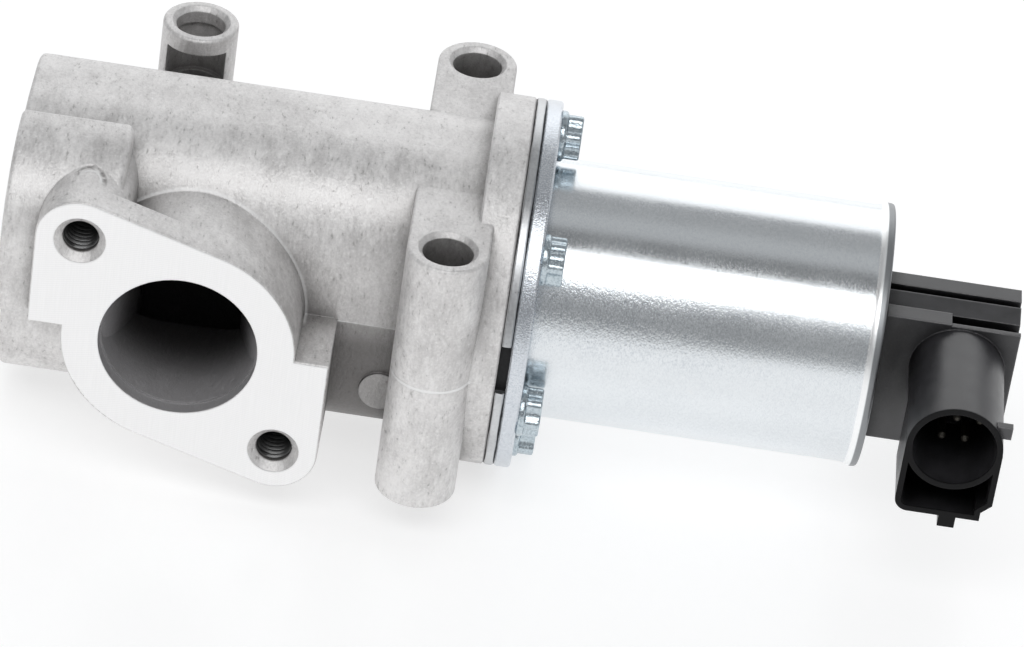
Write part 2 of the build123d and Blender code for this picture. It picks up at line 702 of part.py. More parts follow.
def mounting_plate():
    # The steel plate that closes the housing and carries the solenoid.
    plate = disc(JOINT_FLANGE_R, PLATE_START_X, PLATE_T)
    plate = chamfer(plate.edges().filter_by(GeomType.CIRCLE), JOINT_EDGE_CHAMFER)
    plate -= disc(PLATE_HOLE_R, PLATE_START_X, PLATE_T)
    return plate - screw_bores(SCREW_THREAD_R + SCREW_PASS_CLEARANCE, PLATE_START_X, PLATE_T)


def plate_screw():
    # One joint screw along X: shank, captive washer and a fluted head with six lobes.
    tip_x = SCREW_TIP_GAP - SCREW_HOLE_DEPTH
    shank = disc(SCREW_THREAD_R, tip_x, CAN_START_X - tip_x)
    washer = disc(SCREW_WASHER_R, CAN_START_X, SCREW_WASHER_T)
    head = disc(SCREW_HEAD_R, CAN_START_X, SCREW_HEAD_H)
    head = chamfer(head.faces().sort_by(Axis.X)[-1].edges(), JOINT_EDGE_CHAMFER)
    for index in range(6):
        y, z = around(60.0 * index, SCREW_HEAD_R + SCREW_FLUTE_R / 3)
        head -= disc(SCREW_FLUTE_R, CAN_START_X + SCREW_WASHER_T, SCREW_HEAD_H, y, z)
    return shank + washer + head


def plate_screws():
    # The joint screws, alike, round the plate.
    screw = plate_screw()
    return gathered([Pos(0, y, z) * screw for y, z in screw_places()])


def solenoid_can():
    # The drawn steel can, with a flared lip whose edge is crimped in over the head.
    flare_x = CAN_LIP_START_X - CAN_LIP_FLARE
    return turned(
        (CAN_START_X, CAN_INNER_R),
        (CAN_START_X, CAN_R),
        (flare_x, CAN_R),
        (CAN_LIP_START_X, CAN_LIP_R - 0.2),
        (CAN_LIP_START_X + 0.3, CAN_LIP_R),
        (CAN_END_X - 0.5, CAN_LIP_R),
        (CAN_END_X, CAN_LIP_R - 0.5),
        (CAN_END_X, CAN_LIP_INNER_R),
        (CRIMP_START_X, CAN_LIP_INNER_R),
        (CRIMP_START_X, CAN_INNER_R),
    )


def pole_piece():
    # The fixed core: a spigot in the plate, a flange, a barrel and a conical pole face.
    nose_r = SLEEVE_INNER_R - SEAT_FIT
    spigot_r = PLATE_HOLE_R - SEAT_FIT
    groove_depth = 2 * O_RING_WIRE_R
    core = turned(
        (PLATE_START_X, ROD_R + 0.6),
        (PLATE_START_X, spigot_r),
        (CAN_START_X, spigot_r),
        (CAN_START_X, POLE_FLANGE_R),
        (POLE_FLANGE_END_X, POLE_FLANGE_R),
        (POLE_FLANGE_END_X, SLEEVE_R),
        (SLEEVE_START_X, SLEEVE_R),
        (SLEEVE_START_X, nose_r),
        (POLE_FACE_X, nose_r),
        (POLE_FACE_X, POLE_RECESS_MOUTH_R),
        (POLE_FACE_X - POLE_RECESS_DEPTH, POLE_RECESS_FLOOR_R),
        (POLE_FACE_X - POLE_RECESS_DEPTH, ROD_R + 0.6),
    )
    core -= disc(CORE_BUSH_R, PLATE_START_X, CORE_BUSH_LENGTH)
    groove_r = POLE_O_RING_R + O_RING_WIRE_R
    return core - ring(groove_r, POLE_O_RING_R - O_RING_WIRE_R, CAN_START_X, groove_depth)


def core_bush():
    # The front bearing of the push rod, in the fixed core.
    return ring(CORE_BUSH_R, ROD_R + ROD_FIT, PLATE_START_X, CORE_BUSH_LENGTH)


def armature_sleeve():
    # The thin non-magnetic tube that the armature slides in.
    return ring(SLEEVE_R, SLEEVE_INNER_R, SLEEVE_START_X, SLEEVE_END_X - SLEEVE_START_X)


def armature():
    # The moving iron core, with a conical tip and vent holes, pressed on the push rod.
    end_x = ARMATURE_START_X + ARMATURE_LENGTH
    outer_r = SLEEVE_INNER_R - ARMATURE_FIT
    iron = turned(
        (ARMATURE_START_X - ARMATURE_TIP_LENGTH, ROD_R),
        (ARMATURE_START_X - ARMATURE_TIP_LENGTH, ARMATURE_TIP_R),
        (ARMATURE_START_X, ARMATURE_TIP_ROOT_R),
        (ARMATURE_START_X, outer_r - 0.4),
        (ARMATURE_START_X + 0.4, outer_r),
        (end_x - 0.4, outer_r),
        (end_x, outer_r - 0.4),
        (end_x, ROD_R),
    )
    start_x = ARMATURE_START_X - ARMATURE_TIP_LENGTH
    for side in (-1, 1):
        iron -= disc(ARMATURE_VENT_R, start_x, end_x - start_x, side * ARMATURE_VENT_CIRCLE_R, 0)
    return iron


def push_rod():
    # The rod through the armature, from the valve stem to the sensor.
    rod = disc(ROD_R, ROD_START_X, ROD_END_X - ROD_START_X)
    return chamfer(rod.edges().filter_by(GeomType.CIRCLE), 0.4)


def rear_bush():
    # The rear bearing of the push rod, in the end of the sleeve.
    return ring(SLEEVE_INNER_R - SEAT_FIT, ROD_R + ROD_FIT, REAR_BUSH_START_X, REAR_BUSH_LENGTH)


def end_yoke():
    # The steel plate that closes the magnet circuit behind the coil.
    yoke = ring(CAN_INNER_R - CAN_FIT, SLEEVE_R + SEAT_FIT, YOKE_START_X, YOKE_T)
    for side in (-1, 1):
        yoke -= coil_lead(side, SEAT_FIT)
    return yoke


def coil_bobbin():
    # The plastic spool that holds the winding.
    bore = SLEEVE_R + BOBBIN_BORE_GAP
    tube_r = bore + BOBBIN_TUBE_T
    spool = turned(
        (BOBBIN_START_X, bore),
        (BOBBIN_START_X, BOBBIN_FLANGE_R),
        (BOBBIN_START_X + BOBBIN_FLANGE_T, BOBBIN_FLANGE_R),
        (BOBBIN_START_X + BOBBIN_FLANGE_T, tube_r),
        (BOBBIN_END_X - BOBBIN_FLANGE_T, tube_r),
        (BOBBIN_END_X - BOBBIN_FLANGE_T, BOBBIN_FLANGE_R),
        (BOBBIN_END_X, BOBBIN_FLANGE_R),
        (BOBBIN_END_X, bore),
    )
    for side in (-1, 1):
        spool -= coil_lead(side, 0)
    return spool


def coil_winding():
    # The copper winding, as one solid ring.
    inner_r = SLEEVE_R + BOBBIN_BORE_GAP + BOBBIN_TUBE_T + SEAT_FIT
    start_x = BOBBIN_START_X + BOBBIN_FLANGE_T + WINDING_END_GAP
    end_x = BOBBIN_END_X - BOBBIN_FLANGE_T - WINDING_END_GAP
    return ring(WINDING_R, inner_r, start_x, end_x - start_x)


def coil_lead(side, clearance):
    # One flat terminal from the bobbin's rear flange into the head.
    half_w = LEAD_WIDTH / 2 + clearance
    half_t = LEAD_T / 2 + clearance
    start_x = BOBBIN_END_X - BOBBIN_FLANGE_T
    y = side * LEAD_Y
    return block(start_x, LEAD_END_X + clearance, y - half_w, y + half_w, LEAD_Z - half_t, LEAD_Z + half_t)


def coil_leads():
    # The two terminals of the coil.
    return gathered([coil_lead(side, 0) for side in (-1, 1)])


def pole_seal():
    # The rubber ring between the fixed core and the plate.
    return o_ring(CAN_START_X + O_RING_WIRE_R, POLE_O_RING_R)


def head_seal():
    # The rubber ring between the head and the yoke.
    return o_ring(YOKE_START_X + YOKE_T + O_RING_WIRE_R, HEAD_O_RING_R)


def head_block():
    # The head's square body: a ribbed top that steps down towards the connector.
    crest_z = BLOCK_HALF_HEIGHT
    groove_y = BLOCK_CREST_Y - CREST_WIDTH
    slope_y = groove_y - GROOVE_WIDTH
    recess_y = slope_y - SLOPE_WIDTH
    ridge_y = BLOCK_FRONT_Y + RIDGE_WIDTH
    recess_z = crest_z - RECESS_DEPTH
    ridge_z = crest_z - RIDGE_DROP
    outline = [
        (BLOCK_FRONT_Y, -crest_z),
        (BLOCK_FRONT_Y, ridge_z),
        (ridge_y, ridge_z),
        (ridge_y, recess_z),
        (recess_y, recess_z),
        (recess_y, crest_z - SLOPE_LOW_DROP),
        (slope_y, crest_z - SLOPE_TOP_DROP),
        (slope_y, crest_z - GROOVE_DEPTH),
        (groove_y, crest_z - GROOVE_DEPTH),
        (groove_y, crest_z),
        (BLOCK_CREST_Y, crest_z),
        (BLOCK_REAR_Y, BLOCK_REAR_TOP_Z),
        (BLOCK_REAR_Y, -BLOCK_REAR_TOP_Z),
        (BLOCK_KEEL_Y, -crest_z),
    ]
    body = prism(outline, CRIMP_START_X, BLOCK_END_X - CRIMP_START_X)
    lug_end_x = BLOCK_START_X + LUG_LENGTH
    lug_rear_y = BLOCK_FRONT_Y + LUG_DEPTH
    lug = block(BLOCK_START_X, lug_end_x, BLOCK_FRONT_Y, lug_rear_y, recess_z, LUG_TOP_Z)
    return body + lug


def cavity_outline(margin):
    # The outline of the sensor's room, grown by a margin for the cover's seat.
    return [
        (CAVITY_FRONT_Y - margin, CAVITY_BOTTOM_Z - margin),
        (CAVITY_FRONT_Y - margin, CAVITY_TOP_Z + margin),
        (CAVITY_SLOPE_Y, CAVITY_TOP_Z + margin),
        (CAVITY_REAR_Y + margin, CAVITY_REAR_Z),
        (CAVITY_REAR_Y + margin, -CAVITY_REAR_Z),
        (CAVITY_KEEL_Y, CAVITY_BOTTOM_Z - margin),
    ]


def skirt_outline():
    # The latch guard under the socket, round at one corner and notched at the other.
    left_x = SOCKET_X - SOCKET_R - SEAT_FIT
    right_x = SOCKET_X + SOCKET_R + SEAT_FIT
    low = SKIRT_BOTTOM_Z
    notch = SKIRT_NOTCH
    panel = make_face(
        Polyline(
            (left_x, SOCKET_Z),
            (left_x, low),
            (right_x - notch, low),
            (right_x - notch, low + notch),
            (right_x, low + 2 * notch),
            (right_x, SOCKET_Z),
            close=True,
        )
    )
    corner = panel.vertices().sort_by(Axis.Y)[:2].sort_by(Axis.X)[0]
    return fillet(corner, SKIRT_CORNER_R)


def along_y(outline, y_front, y_back):
    # Extrudes an outline of (x, z) from a front plane back to y_back.
    return extrude(Plane.XZ.offset(-y_front) * outline, y_front - y_back)


def connector_shroud():
    # The round socket with its latch guard and two small lugs.
    tube = facing(SOCKET_R, SOCKET_X, SOCKET_Z, SOCKET_MOUTH_Y, BLOCK_FRONT_Y + 1)
    guard = skirt_outline()
    room = offset(guard, -SKIRT_WALL)
    back_y = SOCKET_MOUTH_Y + SKIRT_LENGTH
    shroud = along_y(guard, SOCKET_MOUTH_Y, back_y) - along_y(room, SOCKET_MOUTH_Y, back_y - SKIRT_WALL)
    tab_x = SOCKET_X + SKIRT_TAB_DROP / 2
    half = SKIRT_TAB_WIDTH / 2
    tab_low = SKIRT_BOTTOM_Z - SKIRT_TAB_DROP
    tab_end_y = SOCKET_MOUTH_Y + SKIRT_TAB_LENGTH
    tab_top = SKIRT_BOTTOM_Z + SKIRT_WALL / 2
    tab = block(tab_x - half, tab_x + half, SOCKET_MOUTH_Y, tab_end_y, tab_low, tab_top)
    side_y = SOCKET_MOUTH_Y + SKIRT_WALL
    side_x = SOCKET_X + SOCKET_R
    side_end_y = side_y + SIDE_TAB_LENGTH
    side = block(side_x - 2, side_x + SIDE_TAB_REACH, side_y, side_end_y, SIDE_TAB_Z - 1.3, SIDE_TAB_Z + 1.3)
    return tube + shroud + tab + side


def pin_places():
    # The (x, z) places of the five pins: three above two.
    upper = [(SOCKET_X + PIN_PITCH * step, SOCKET_Z + PIN_ROW_DZ / 2) for step in (-1, 0, 1)]
    lower = [(SOCKET_X + PIN_PITCH * step, SOCKET_Z - PIN_ROW_DZ / 2) for step in (-0.5, 0.5)]
    return upper + lower


def connector_pin(x, z):
    # One pointed pin, from the sensor's room into the socket.
    pin = facing(PIN_R, x, z, PIN_TIP_Y, CAVITY_FRONT_Y + 1)
    return chamfer(pin.faces().sort_by(Axis.Y)[0].edges(), PIN_R / 2)


def connector_pins():
    # The pins of the connector.
    return gathered([connector_pin(x, z) for x, z in pin_places()])


def sensor_head():
    # The moulded head: base disc in the can, square body, room for the sensor and connector.
    base = disc(HEAD_BASE_R, HEAD_BASE_START_X, CRIMP_START_X - HEAD_BASE_START_X)
    groove_r = HEAD_O_RING_R + O_RING_WIRE_R
    base -= ring(groove_r, HEAD_O_RING_R - O_RING_WIRE_R, HEAD_BASE_START_X, 2 * O_RING_WIRE_R)
    head = base + head_block() + connector_shroud()
    room = make_face(Polyline(*cavity_outline(0), close=True))
    head -= extrude(Plane.YZ.offset(CAVITY_START_X) * room, BLOCK_END_X - CAVITY_START_X)
    head -= prism(cavity_outline(COVER_LAP), COVER_START_X, BLOCK_END_X - COVER_START_X)
    head -= disc(ROD_PASSAGE_R, HEAD_BASE_START_X, CAVITY_START_X - HEAD_BASE_START_X)
    head -= facing(SOCKET_R - SOCKET_WALL, SOCKET_X, SOCKET_Z, SOCKET_MOUTH_Y, SOCKET_FLOOR_Y)
    for x, z in pin_places():
        head -= facing(PIN_R, x, z, SOCKET_FLOOR_Y, CAVITY_FRONT_Y)
    for side in (-1, 1):
        head -= coil_lead(side, 0)
    return head


def sensor_cover():
    # The lid over the sensor's room, with a pin that centres the sensor spring.
    lid = prism(cavity_outline(COVER_LAP - SEAT_FIT), COVER_START_X, COVER_T)
    return lid + disc(COVER_PIN_R, COVER_START_X - COVER_PIN_LENGTH, COVER_PIN_LENGTH)


def sensor_plunger():
    # The slider that follows the rod and carries the wiper.
    end_x = CARRIAGE_START_X + CARRIAGE_LENGTH
    nose = disc(PLUNGER_R, PLUNGER_START_X, CARRIAGE_START_X - PLUNGER_START_X)
    half_y = CARRIAGE_HALF_DEPTH
    half_z = CARRIAGE_HALF_HEIGHT
    slider = block(CARRIAGE_START_X, end_x, -half_y, half_y, -half_z, half_z)
    slider = chamfer(slider.edges().filter_by(Axis.X), 1.2)
    bore_r = SENSOR_SPRING_R + SENSOR_SPRING_WIRE_R + 0.25
    return nose + slider - disc(bore_r, end_x - SENSOR_SPRING_SEAT_DEPTH, SENSOR_SPRING_SEAT_DEPTH)


def sensor_spring():
    # The light spring that keeps the slider against the rod.
    start_x = CARRIAGE_START_X + CARRIAGE_LENGTH - SENSOR_SPRING_SEAT_DEPTH
    return coil_spring(start_x, COVER_START_X, SENSOR_SPRING_R, SENSOR_SPRING_WIRE_R, SENSOR_SPRING_TURNS)


def resistive_track():
    # The sensor's track board on the floor of the room.
    top_z = CAVITY_BOTTOM_Z + TRACK_T
    return block(TRACK_START_X, TRACK_END_X, TRACK_FRONT_Y, TRACK_REAR_Y, CAVITY_BOTTOM_Z, top_z)


def wiper():
    # The contact spring under the slider: a pad and two bent fingers above the track.
    track_top = CAVITY_BOTTOM_Z + TRACK_T
    mid_x = CARRIAGE_START_X + CARRIAGE_LENGTH / 2
    low_z = track_top + WIPER_GAP
    top_z = -CARRIAGE_HALF_HEIGHT
    pad = block(mid_x, mid_x + 3.2, -WIPER_FINGER_Z - 1.2, WIPER_FINGER_Z + 1.2, top_z - WIPER_T, top_z)
    profile = [
        (mid_x + 2.6, top_z),
        (mid_x + 2.6, top_z - WIPER_T),
        (mid_x - 1.6, low_z),
        (mid_x - 3.2, low_z + 0.9),
        (mid_x - 3.2, low_z + 0.9 + WIPER_T),
        (mid_x - 1.6, low_z + WIPER_T),
    ]
    half = WIPER_FINGER_WIDTH / 2
    for side in (-1, 1):
        face = Plane.XZ.offset(-side * WIPER_FINGER_Z) * make_face(Polyline(*profile, close=True))
        pad += extrude(face, half, both=True)
    return pad


def parts():
    # Every piece by its name.
    return {
        "valve_housing": valve_housing(),
        "seat_ring": seat_ring(),
        "poppet_valve": poppet_valve(),
        "stem_guide": stem_guide(),
        "stem_scraper": stem_scraper(),
        "spring_seat": spring_seat(),
        "return_spring": return_spring(),
        "spring_retainer": spring_retainer(),
        "valve_keepers": valve_keepers(),
        "housing_gasket": housing_gasket(),
        "mounting_plate": mounting_plate(),
        "plate_screws": plate_screws(),
        "solenoid_can": solenoid_can(),
        "pole_piece": pole_piece(),
        "pole_seal": pole_seal(),
        "core_bush": core_bush(),
        "armature_sleeve": armature_sleeve(),
        "armature": armature(),
        "push_rod": push_rod(),
        "rear_bush": rear_bush(),
        "end_yoke": end_yoke(),
        "coil_bobbin": coil_bobbin(),
        "coil_winding": coil_winding(),
        "coil_leads": coil_leads(),
        "head_seal": head_seal(),
        "sensor_head": sensor_head(),
        "sensor_cover": sensor_cover(),
        "connector_pins": connector_pins(),
        "sensor_plunger": sensor_plunger(),
        "sensor_spring": sensor_spring(),
        "resistive_track": resistive_track(),
        "wiper": wiper(),
    }


def main():
    # Moves every piece to the part's own frame and writes it.
    os.makedirs("parts", exist_ok=True)
    to_frame = Pos(-OUTLET_X, -OUTLET_FACE_Y, 0)
    for name, piece in parts().items():
        export_step(to_frame * piece, f"parts/{name}.step")


main()
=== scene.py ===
"""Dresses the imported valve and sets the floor, the lights and the camera."""

import json
import logging
import math
from collections.abc import Mapping, Sequence
from dataclasses import dataclass
from enum import Enum
from typing import Any, ClassVar, Protocol

import bmesh
import bpy
import numpy as np
from mathutils import Matrix, Vector


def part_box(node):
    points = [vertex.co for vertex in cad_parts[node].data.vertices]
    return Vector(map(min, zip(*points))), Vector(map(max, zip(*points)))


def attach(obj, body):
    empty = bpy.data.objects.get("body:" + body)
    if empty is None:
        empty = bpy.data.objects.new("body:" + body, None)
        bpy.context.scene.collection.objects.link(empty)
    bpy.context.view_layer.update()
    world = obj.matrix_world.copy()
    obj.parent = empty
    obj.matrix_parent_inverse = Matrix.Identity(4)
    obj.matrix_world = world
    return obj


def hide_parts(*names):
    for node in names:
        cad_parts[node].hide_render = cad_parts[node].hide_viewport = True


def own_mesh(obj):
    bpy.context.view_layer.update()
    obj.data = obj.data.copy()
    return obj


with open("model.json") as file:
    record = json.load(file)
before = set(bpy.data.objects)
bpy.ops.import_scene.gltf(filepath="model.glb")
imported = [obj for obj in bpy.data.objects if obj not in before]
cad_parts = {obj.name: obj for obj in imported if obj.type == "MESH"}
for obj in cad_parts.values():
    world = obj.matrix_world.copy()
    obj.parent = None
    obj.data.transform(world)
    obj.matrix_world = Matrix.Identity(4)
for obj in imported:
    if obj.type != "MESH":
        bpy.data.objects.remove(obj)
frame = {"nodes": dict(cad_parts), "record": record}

LOG = logging.getLogger("valve")
MM = 0.001
JOINT_X = 59.75 * MM  # the casting's joint face
AXIS_Y = 38.3 * MM  # the valve's long axis, which lies at z = 0
WELD = 2e-6  # points nearer than this become one
MIX_FACTOR, MIX_LOW, MIX_HIGH, MIX_RESULT = 0, 6, 7, 2  # a colour Mix node's sockets
Pair = tuple[float, float]
Triple = tuple[float, float, float]
Quad = tuple[float, float, float, float]
LUG_HOLES: tuple[Pair, Pair] = ((-20.12 * MM, 20.45 * MM), (20.12 * MM, -20.45 * MM))  # (x, z) of the threads


class Body(Enum):
    """The rigid groups that a piece can ride on."""

    HOUSING = "housing"
    POPPET = "poppet"
    ARMATURE = "armature"
    SLIDER = "sensor_slider"


# ---------------------------------------------------------------- surfaces


def softened(corners: Sequence[Sequence[float]], steps: int = 5) -> np.ndarray:
    """Rounds the corners of a profile.

    Each corner p with radius r becomes the quadratic arc (1-t)^2 a + 2t(1-t) p + t^2 b, where a and b lie on the
    two legs at the distance r from p, or at just under half the leg where that is less.

    Args:
        corners: (x, radius, rounding) rows, in millimetres.
        steps: points on each rounded corner.

    Returns:
        The profile as (x, radius) rows, in metres.
    """
    rows = np.asarray(corners, float)
    points, reach = rows[:, :2], rows[:, 2:3]
    before = np.roll(points, 1, axis=0) - points
    after = np.roll(points, -1, axis=0) - points
    length_before = np.maximum(np.linalg.norm(before, axis=1, keepdims=True), 1e-9)
    length_after = np.maximum(np.linalg.norm(after, axis=1, keepdims=True), 1e-9)
    start = points + before / length_before * np.minimum(reach, length_before * 0.49)
    end = points + after / length_after * np.minimum(reach, length_after * 0.49)
    t = np.linspace(0.0, 1.0, steps)[None, :, None]
    arcs = (1 - t) ** 2 * start[:, None] + 2 * t * (1 - t) * points[:, None] + t**2 * end[:, None]
    return arcs.reshape(-1, 2) * MM


def spun(profile: np.ndarray, count: int, swell: np.ndarray | None = None) -> np.ndarray:
    """Turns a profile about the X axis: P(t, s) = (x(s), -r(s) w sin t, r(s) w cos t).

    Args:
        profile: (x, radius) rows, in metres.
        count: steps round the axis.
        swell: the factor w for each angle and profile row, or none for a plain turned piece.

    Returns:
        A grid of points, angle by profile row.
    """
    angle = np.linspace(0.0, 2 * np.pi, count, endpoint=False)[:, None]
    radius = profile[None, :, 1] * (1.0 if swell is None else swell)
    across = np.broadcast_to(profile[None, :, 0], (count, len(profile)))
    return np.stack([across, -radius * np.sin(angle), radius * np.cos(angle)], axis=-1)


def moved(grid: np.ndarray, x: float = 0.0, y: float = 0.0, z: float = 0.0) -> np.ndarray:
    """Shifts a grid of points by (x, y, z)."""
    return grid + np.array([x, y, z])


def screw_ridge(radius: float, height: float, pitch: float, length: float, per_turn: int = 40) -> np.ndarray:
    """A ridge wound along +Y inside a hole about the Y axis.

    With a = 2 pi u n, P(u, v) = (rho cos a, pitch n u + w(v) pitch / 2, rho sin a) and rho = radius - h(u) k(v),
    where k is 1 on the crest and 0 at the foot, and h runs out to nothing over the last turn at both ends.

    Args:
        radius: the hole's wall, in metres.
        height: the ridge's height.
        pitch: the advance for each turn.
        length: the threaded length.
        per_turn: steps for each turn.

    Returns:
        A grid of points, step by place on the section.
    """
    turns = length / pitch - 1.0
    u = np.linspace(0.0, 1.0, int(turns * per_turn))[:, None]
    a = 2 * np.pi * turns * u
    k = np.array([0.0, 0.0, 0.92, 1.0, 0.92, 0.0])[None, :]
    w = np.array([-0.98, -0.86, -0.14, 0.0, 0.14, 0.86])[None, :]
    fade = np.clip(np.minimum(u, 1 - u) * turns * 1.3, 0.02, 1.0)  # h over the full height
    rho = radius - height * k * fade
    y = pitch * (turns * u + 0.5) + w * pitch / 2
    return np.stack([rho * np.cos(a), y + 0 * rho, rho * np.sin(a)], axis=-1)


def wound_wire(
    start: float, length: float, radius: float, wire_r: float, turns: float, per_turn: int = 64, around: int = 18
) -> np.ndarray:
    """A round wire wound about the X axis.

    With a = 2 pi n u the middle line is C = (start + length u, R sin a, -R cos a). Each section is the circle
    C + w (N cos v + B sin v), where N points away from the axis and B is the line's direction crossed with N.
    The first and last sections have w = 0, which closes the ends.

    Args:
        start: where the middle line starts on the axis, in metres.
        length: how far it runs along the axis.
        radius: the winding's middle radius.
        wire_r: the wire's radius.
        turns: the number of turns.
        per_turn: sections on each turn.
        around: points on each section.

    Returns:
        A grid of points, section by place on the section.
    """
    u = np.linspace(0.0, 1.0, int(turns * per_turn))
    u = np.concatenate([[0.0], u, [1.0]])
    w = np.full(len(u), wire_r)
    w[[0, -1]] = 0.0
    a = 2 * np.pi * turns * u
    v = np.linspace(0.0, 2 * np.pi, around, endpoint=False)[None, :, None]
    middle = np.stack([start + length * u, radius * np.sin(a), -radius * np.cos(a)], axis=-1)
    away = np.stack([0 * a, np.sin(a), -np.cos(a)], axis=-1)
    along = np.stack([0 * a + length / (2 * np.pi * turns), radius * np.cos(a), radius * np.sin(a)], axis=-1)
    along /= np.linalg.norm(along, axis=-1, keepdims=True)
    side = np.cross(along, away)
    return middle[:, None] + w[:, None, None] * (away[:, None] * np.cos(v) + side[:, None] * np.sin(v))


@dataclass(frozen=True)
class Piece:
    """One new mesh object and the body that it rides on."""

    name: str
    slot: str
    body: Body = Body.HOUSING

    def from_grids(
        self,
        grids: Sequence[np.ndarray],
        material: bpy.types.Material,
        wrap: tuple[bool, bool] = (True, True),
        crease: float = 32.0,
    ) -> bpy.types.Object:
        """Makes the object from one or more grids of points.

        Args:
            grids: arrays of shape (rows, columns, 3), in the row frame.
            material: the finish.
            wrap: whether the last row and the last column join the first.
            crease: the angle in degrees past which an edge stays sharp.

        Returns:
            The object, closed, facing outwards and riding on its body.
        """
        points, faces, first = [], [], 0
        for grid in grids:
            rows, columns = grid.shape[:2]
            index = first + np.arange(rows * columns).reshape(rows, columns)
            i = np.arange(rows if wrap[0] else rows - 1)[:, None]
            j = np.arange(columns if wrap[1] else columns - 1)[None, :]
            up, side = (i + 1) % rows, (j + 1) % columns
            quads = np.stack([index[i, j], index[up, j], index[up, side], index[i, side]], axis=-1)
            points.append(grid.reshape(-1, 3))
            faces.append(quads.reshape(-1, 4))
            first += rows * columns
        mesh = bpy.data.meshes.new(self.name)
        mesh.from_pydata(np.concatenate(points).tolist(), [], np.concatenate(faces).tolist())
        return self.from_mesh(mesh, material, crease)

    def from_mesh(self, mesh: bpy.types.Mesh, material: bpy.types.Material, crease: float) -> bpy.types.Object:
        """Welds a mesh, turns its faces outwards, shades it and puts it on its body.

        Args:
            mesh: the raw mesh, in the row frame.
            material: the finish.
            crease: the angle in degrees past which an edge stays sharp.

        Returns:
            The finished object.
        """
        solid = bmesh.new()
        solid.from_mesh(mesh)
        bmesh.ops.remove_doubles(solid, verts=solid.verts, dist=WELD)
        bmesh.ops.dissolve_degenerate(solid, edges=solid.edges, dist=1e-7)
        bmesh.ops.recalc_face_normals(solid, faces=solid.faces)
        solid.to_mesh(mesh)
        solid.free()
        mesh.shade_smooth()
        mesh.set_sharp_from_angle(angle=math.radians(crease))
        mesh.materials.clear()
        mesh.materials.append(material)
        piece = bpy.data.objects.new(self.name, mesh)
        bpy.context.scene.collection.objects.link(piece)
        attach(piece, self.body.value)
        LOG.info("%s: %d faces on %s", self.name, len(mesh.polygons), self.body.value)
        return piece


# ---------------------------------------------------------------- shader kit


class Wire:
    """One output socket, on which arithmetic adds Math nodes."""

    def __init__(self, board: "Board", socket: bpy.types.NodeSocket) -> None:
        """Wraps a socket of a board's node."""
        self.board = board
        self.socket = socket

    def math(self, operation: str, *others: "Wire | float") -> "Wire":
        """A Math node on this value and then the others."""
        return self.board.node("ShaderNodeMath", {"operation": operation}, dict(enumerate((self, *others))))

    def math_after(self, operation: str, other: float) -> "Wire":
        """A Math node on a plain number and then this value."""
        return self.board.node("ShaderNodeMath", {"operation": operation}, {0: other, 1: self})

    def __add__(self, other: "Wire | float") -> "Wire":
        """This plus other."""
        return self.math("ADD", other)

    def __radd__(self, other: float) -> "Wire":
        """Other plus this."""
        return self.math("ADD", other)

    def __sub__(self, other: "Wire | float") -> "Wire":
        """This minus other."""
        return self.math("SUBTRACT", other)

    def __rsub__(self, other: float) -> "Wire":
        """Other minus this."""
        return self.math_after("SUBTRACT", other)

    def __mul__(self, other: "Wire | float") -> "Wire":
        """This times other."""
        return self.math("MULTIPLY", other)

    def __rmul__(self, other: float) -> "Wire":
        """Other times this."""
        return self.math("MULTIPLY", other)

    def __truediv__(self, other: "Wire | float") -> "Wire":
        """This over other."""
        return self.math("DIVIDE", other)

    def __rtruediv__(self, other: float) -> "Wire":
        """Other over this."""
        return self.math_after("DIVIDE", other)

    def __abs__(self) -> "Wire":
        """The size of this."""
        return self.math("ABSOLUTE")

    def either(self, other: "Wire | float") -> "Wire":
        """The larger of the two."""
        return self.math("MAXIMUM", other)

    def wave(self) -> "Wire":
        """The sine of this."""
        return self.math("SINE")

    def ramp(self, start: float, end: float, low: float = 0.0, high: float = 1.0) -> "Wire":
        """Adds a smooth step.

        Args:
            start: the value at which the step begins; it may lie above end.
            end: the value at which it is done.
            low: the result at start.
            high: the result at end.

        Returns:
            The step's result.
        """
        if start > end:
            start, end, low, high = end, start, high, low
        values = {"Value": self, "From Min": start, "From Max": end, "To Min": low, "To Max": high}
        return self.board.node("ShaderNodeMapRange", {"interpolation_type": "SMOOTHSTEP"}, values)


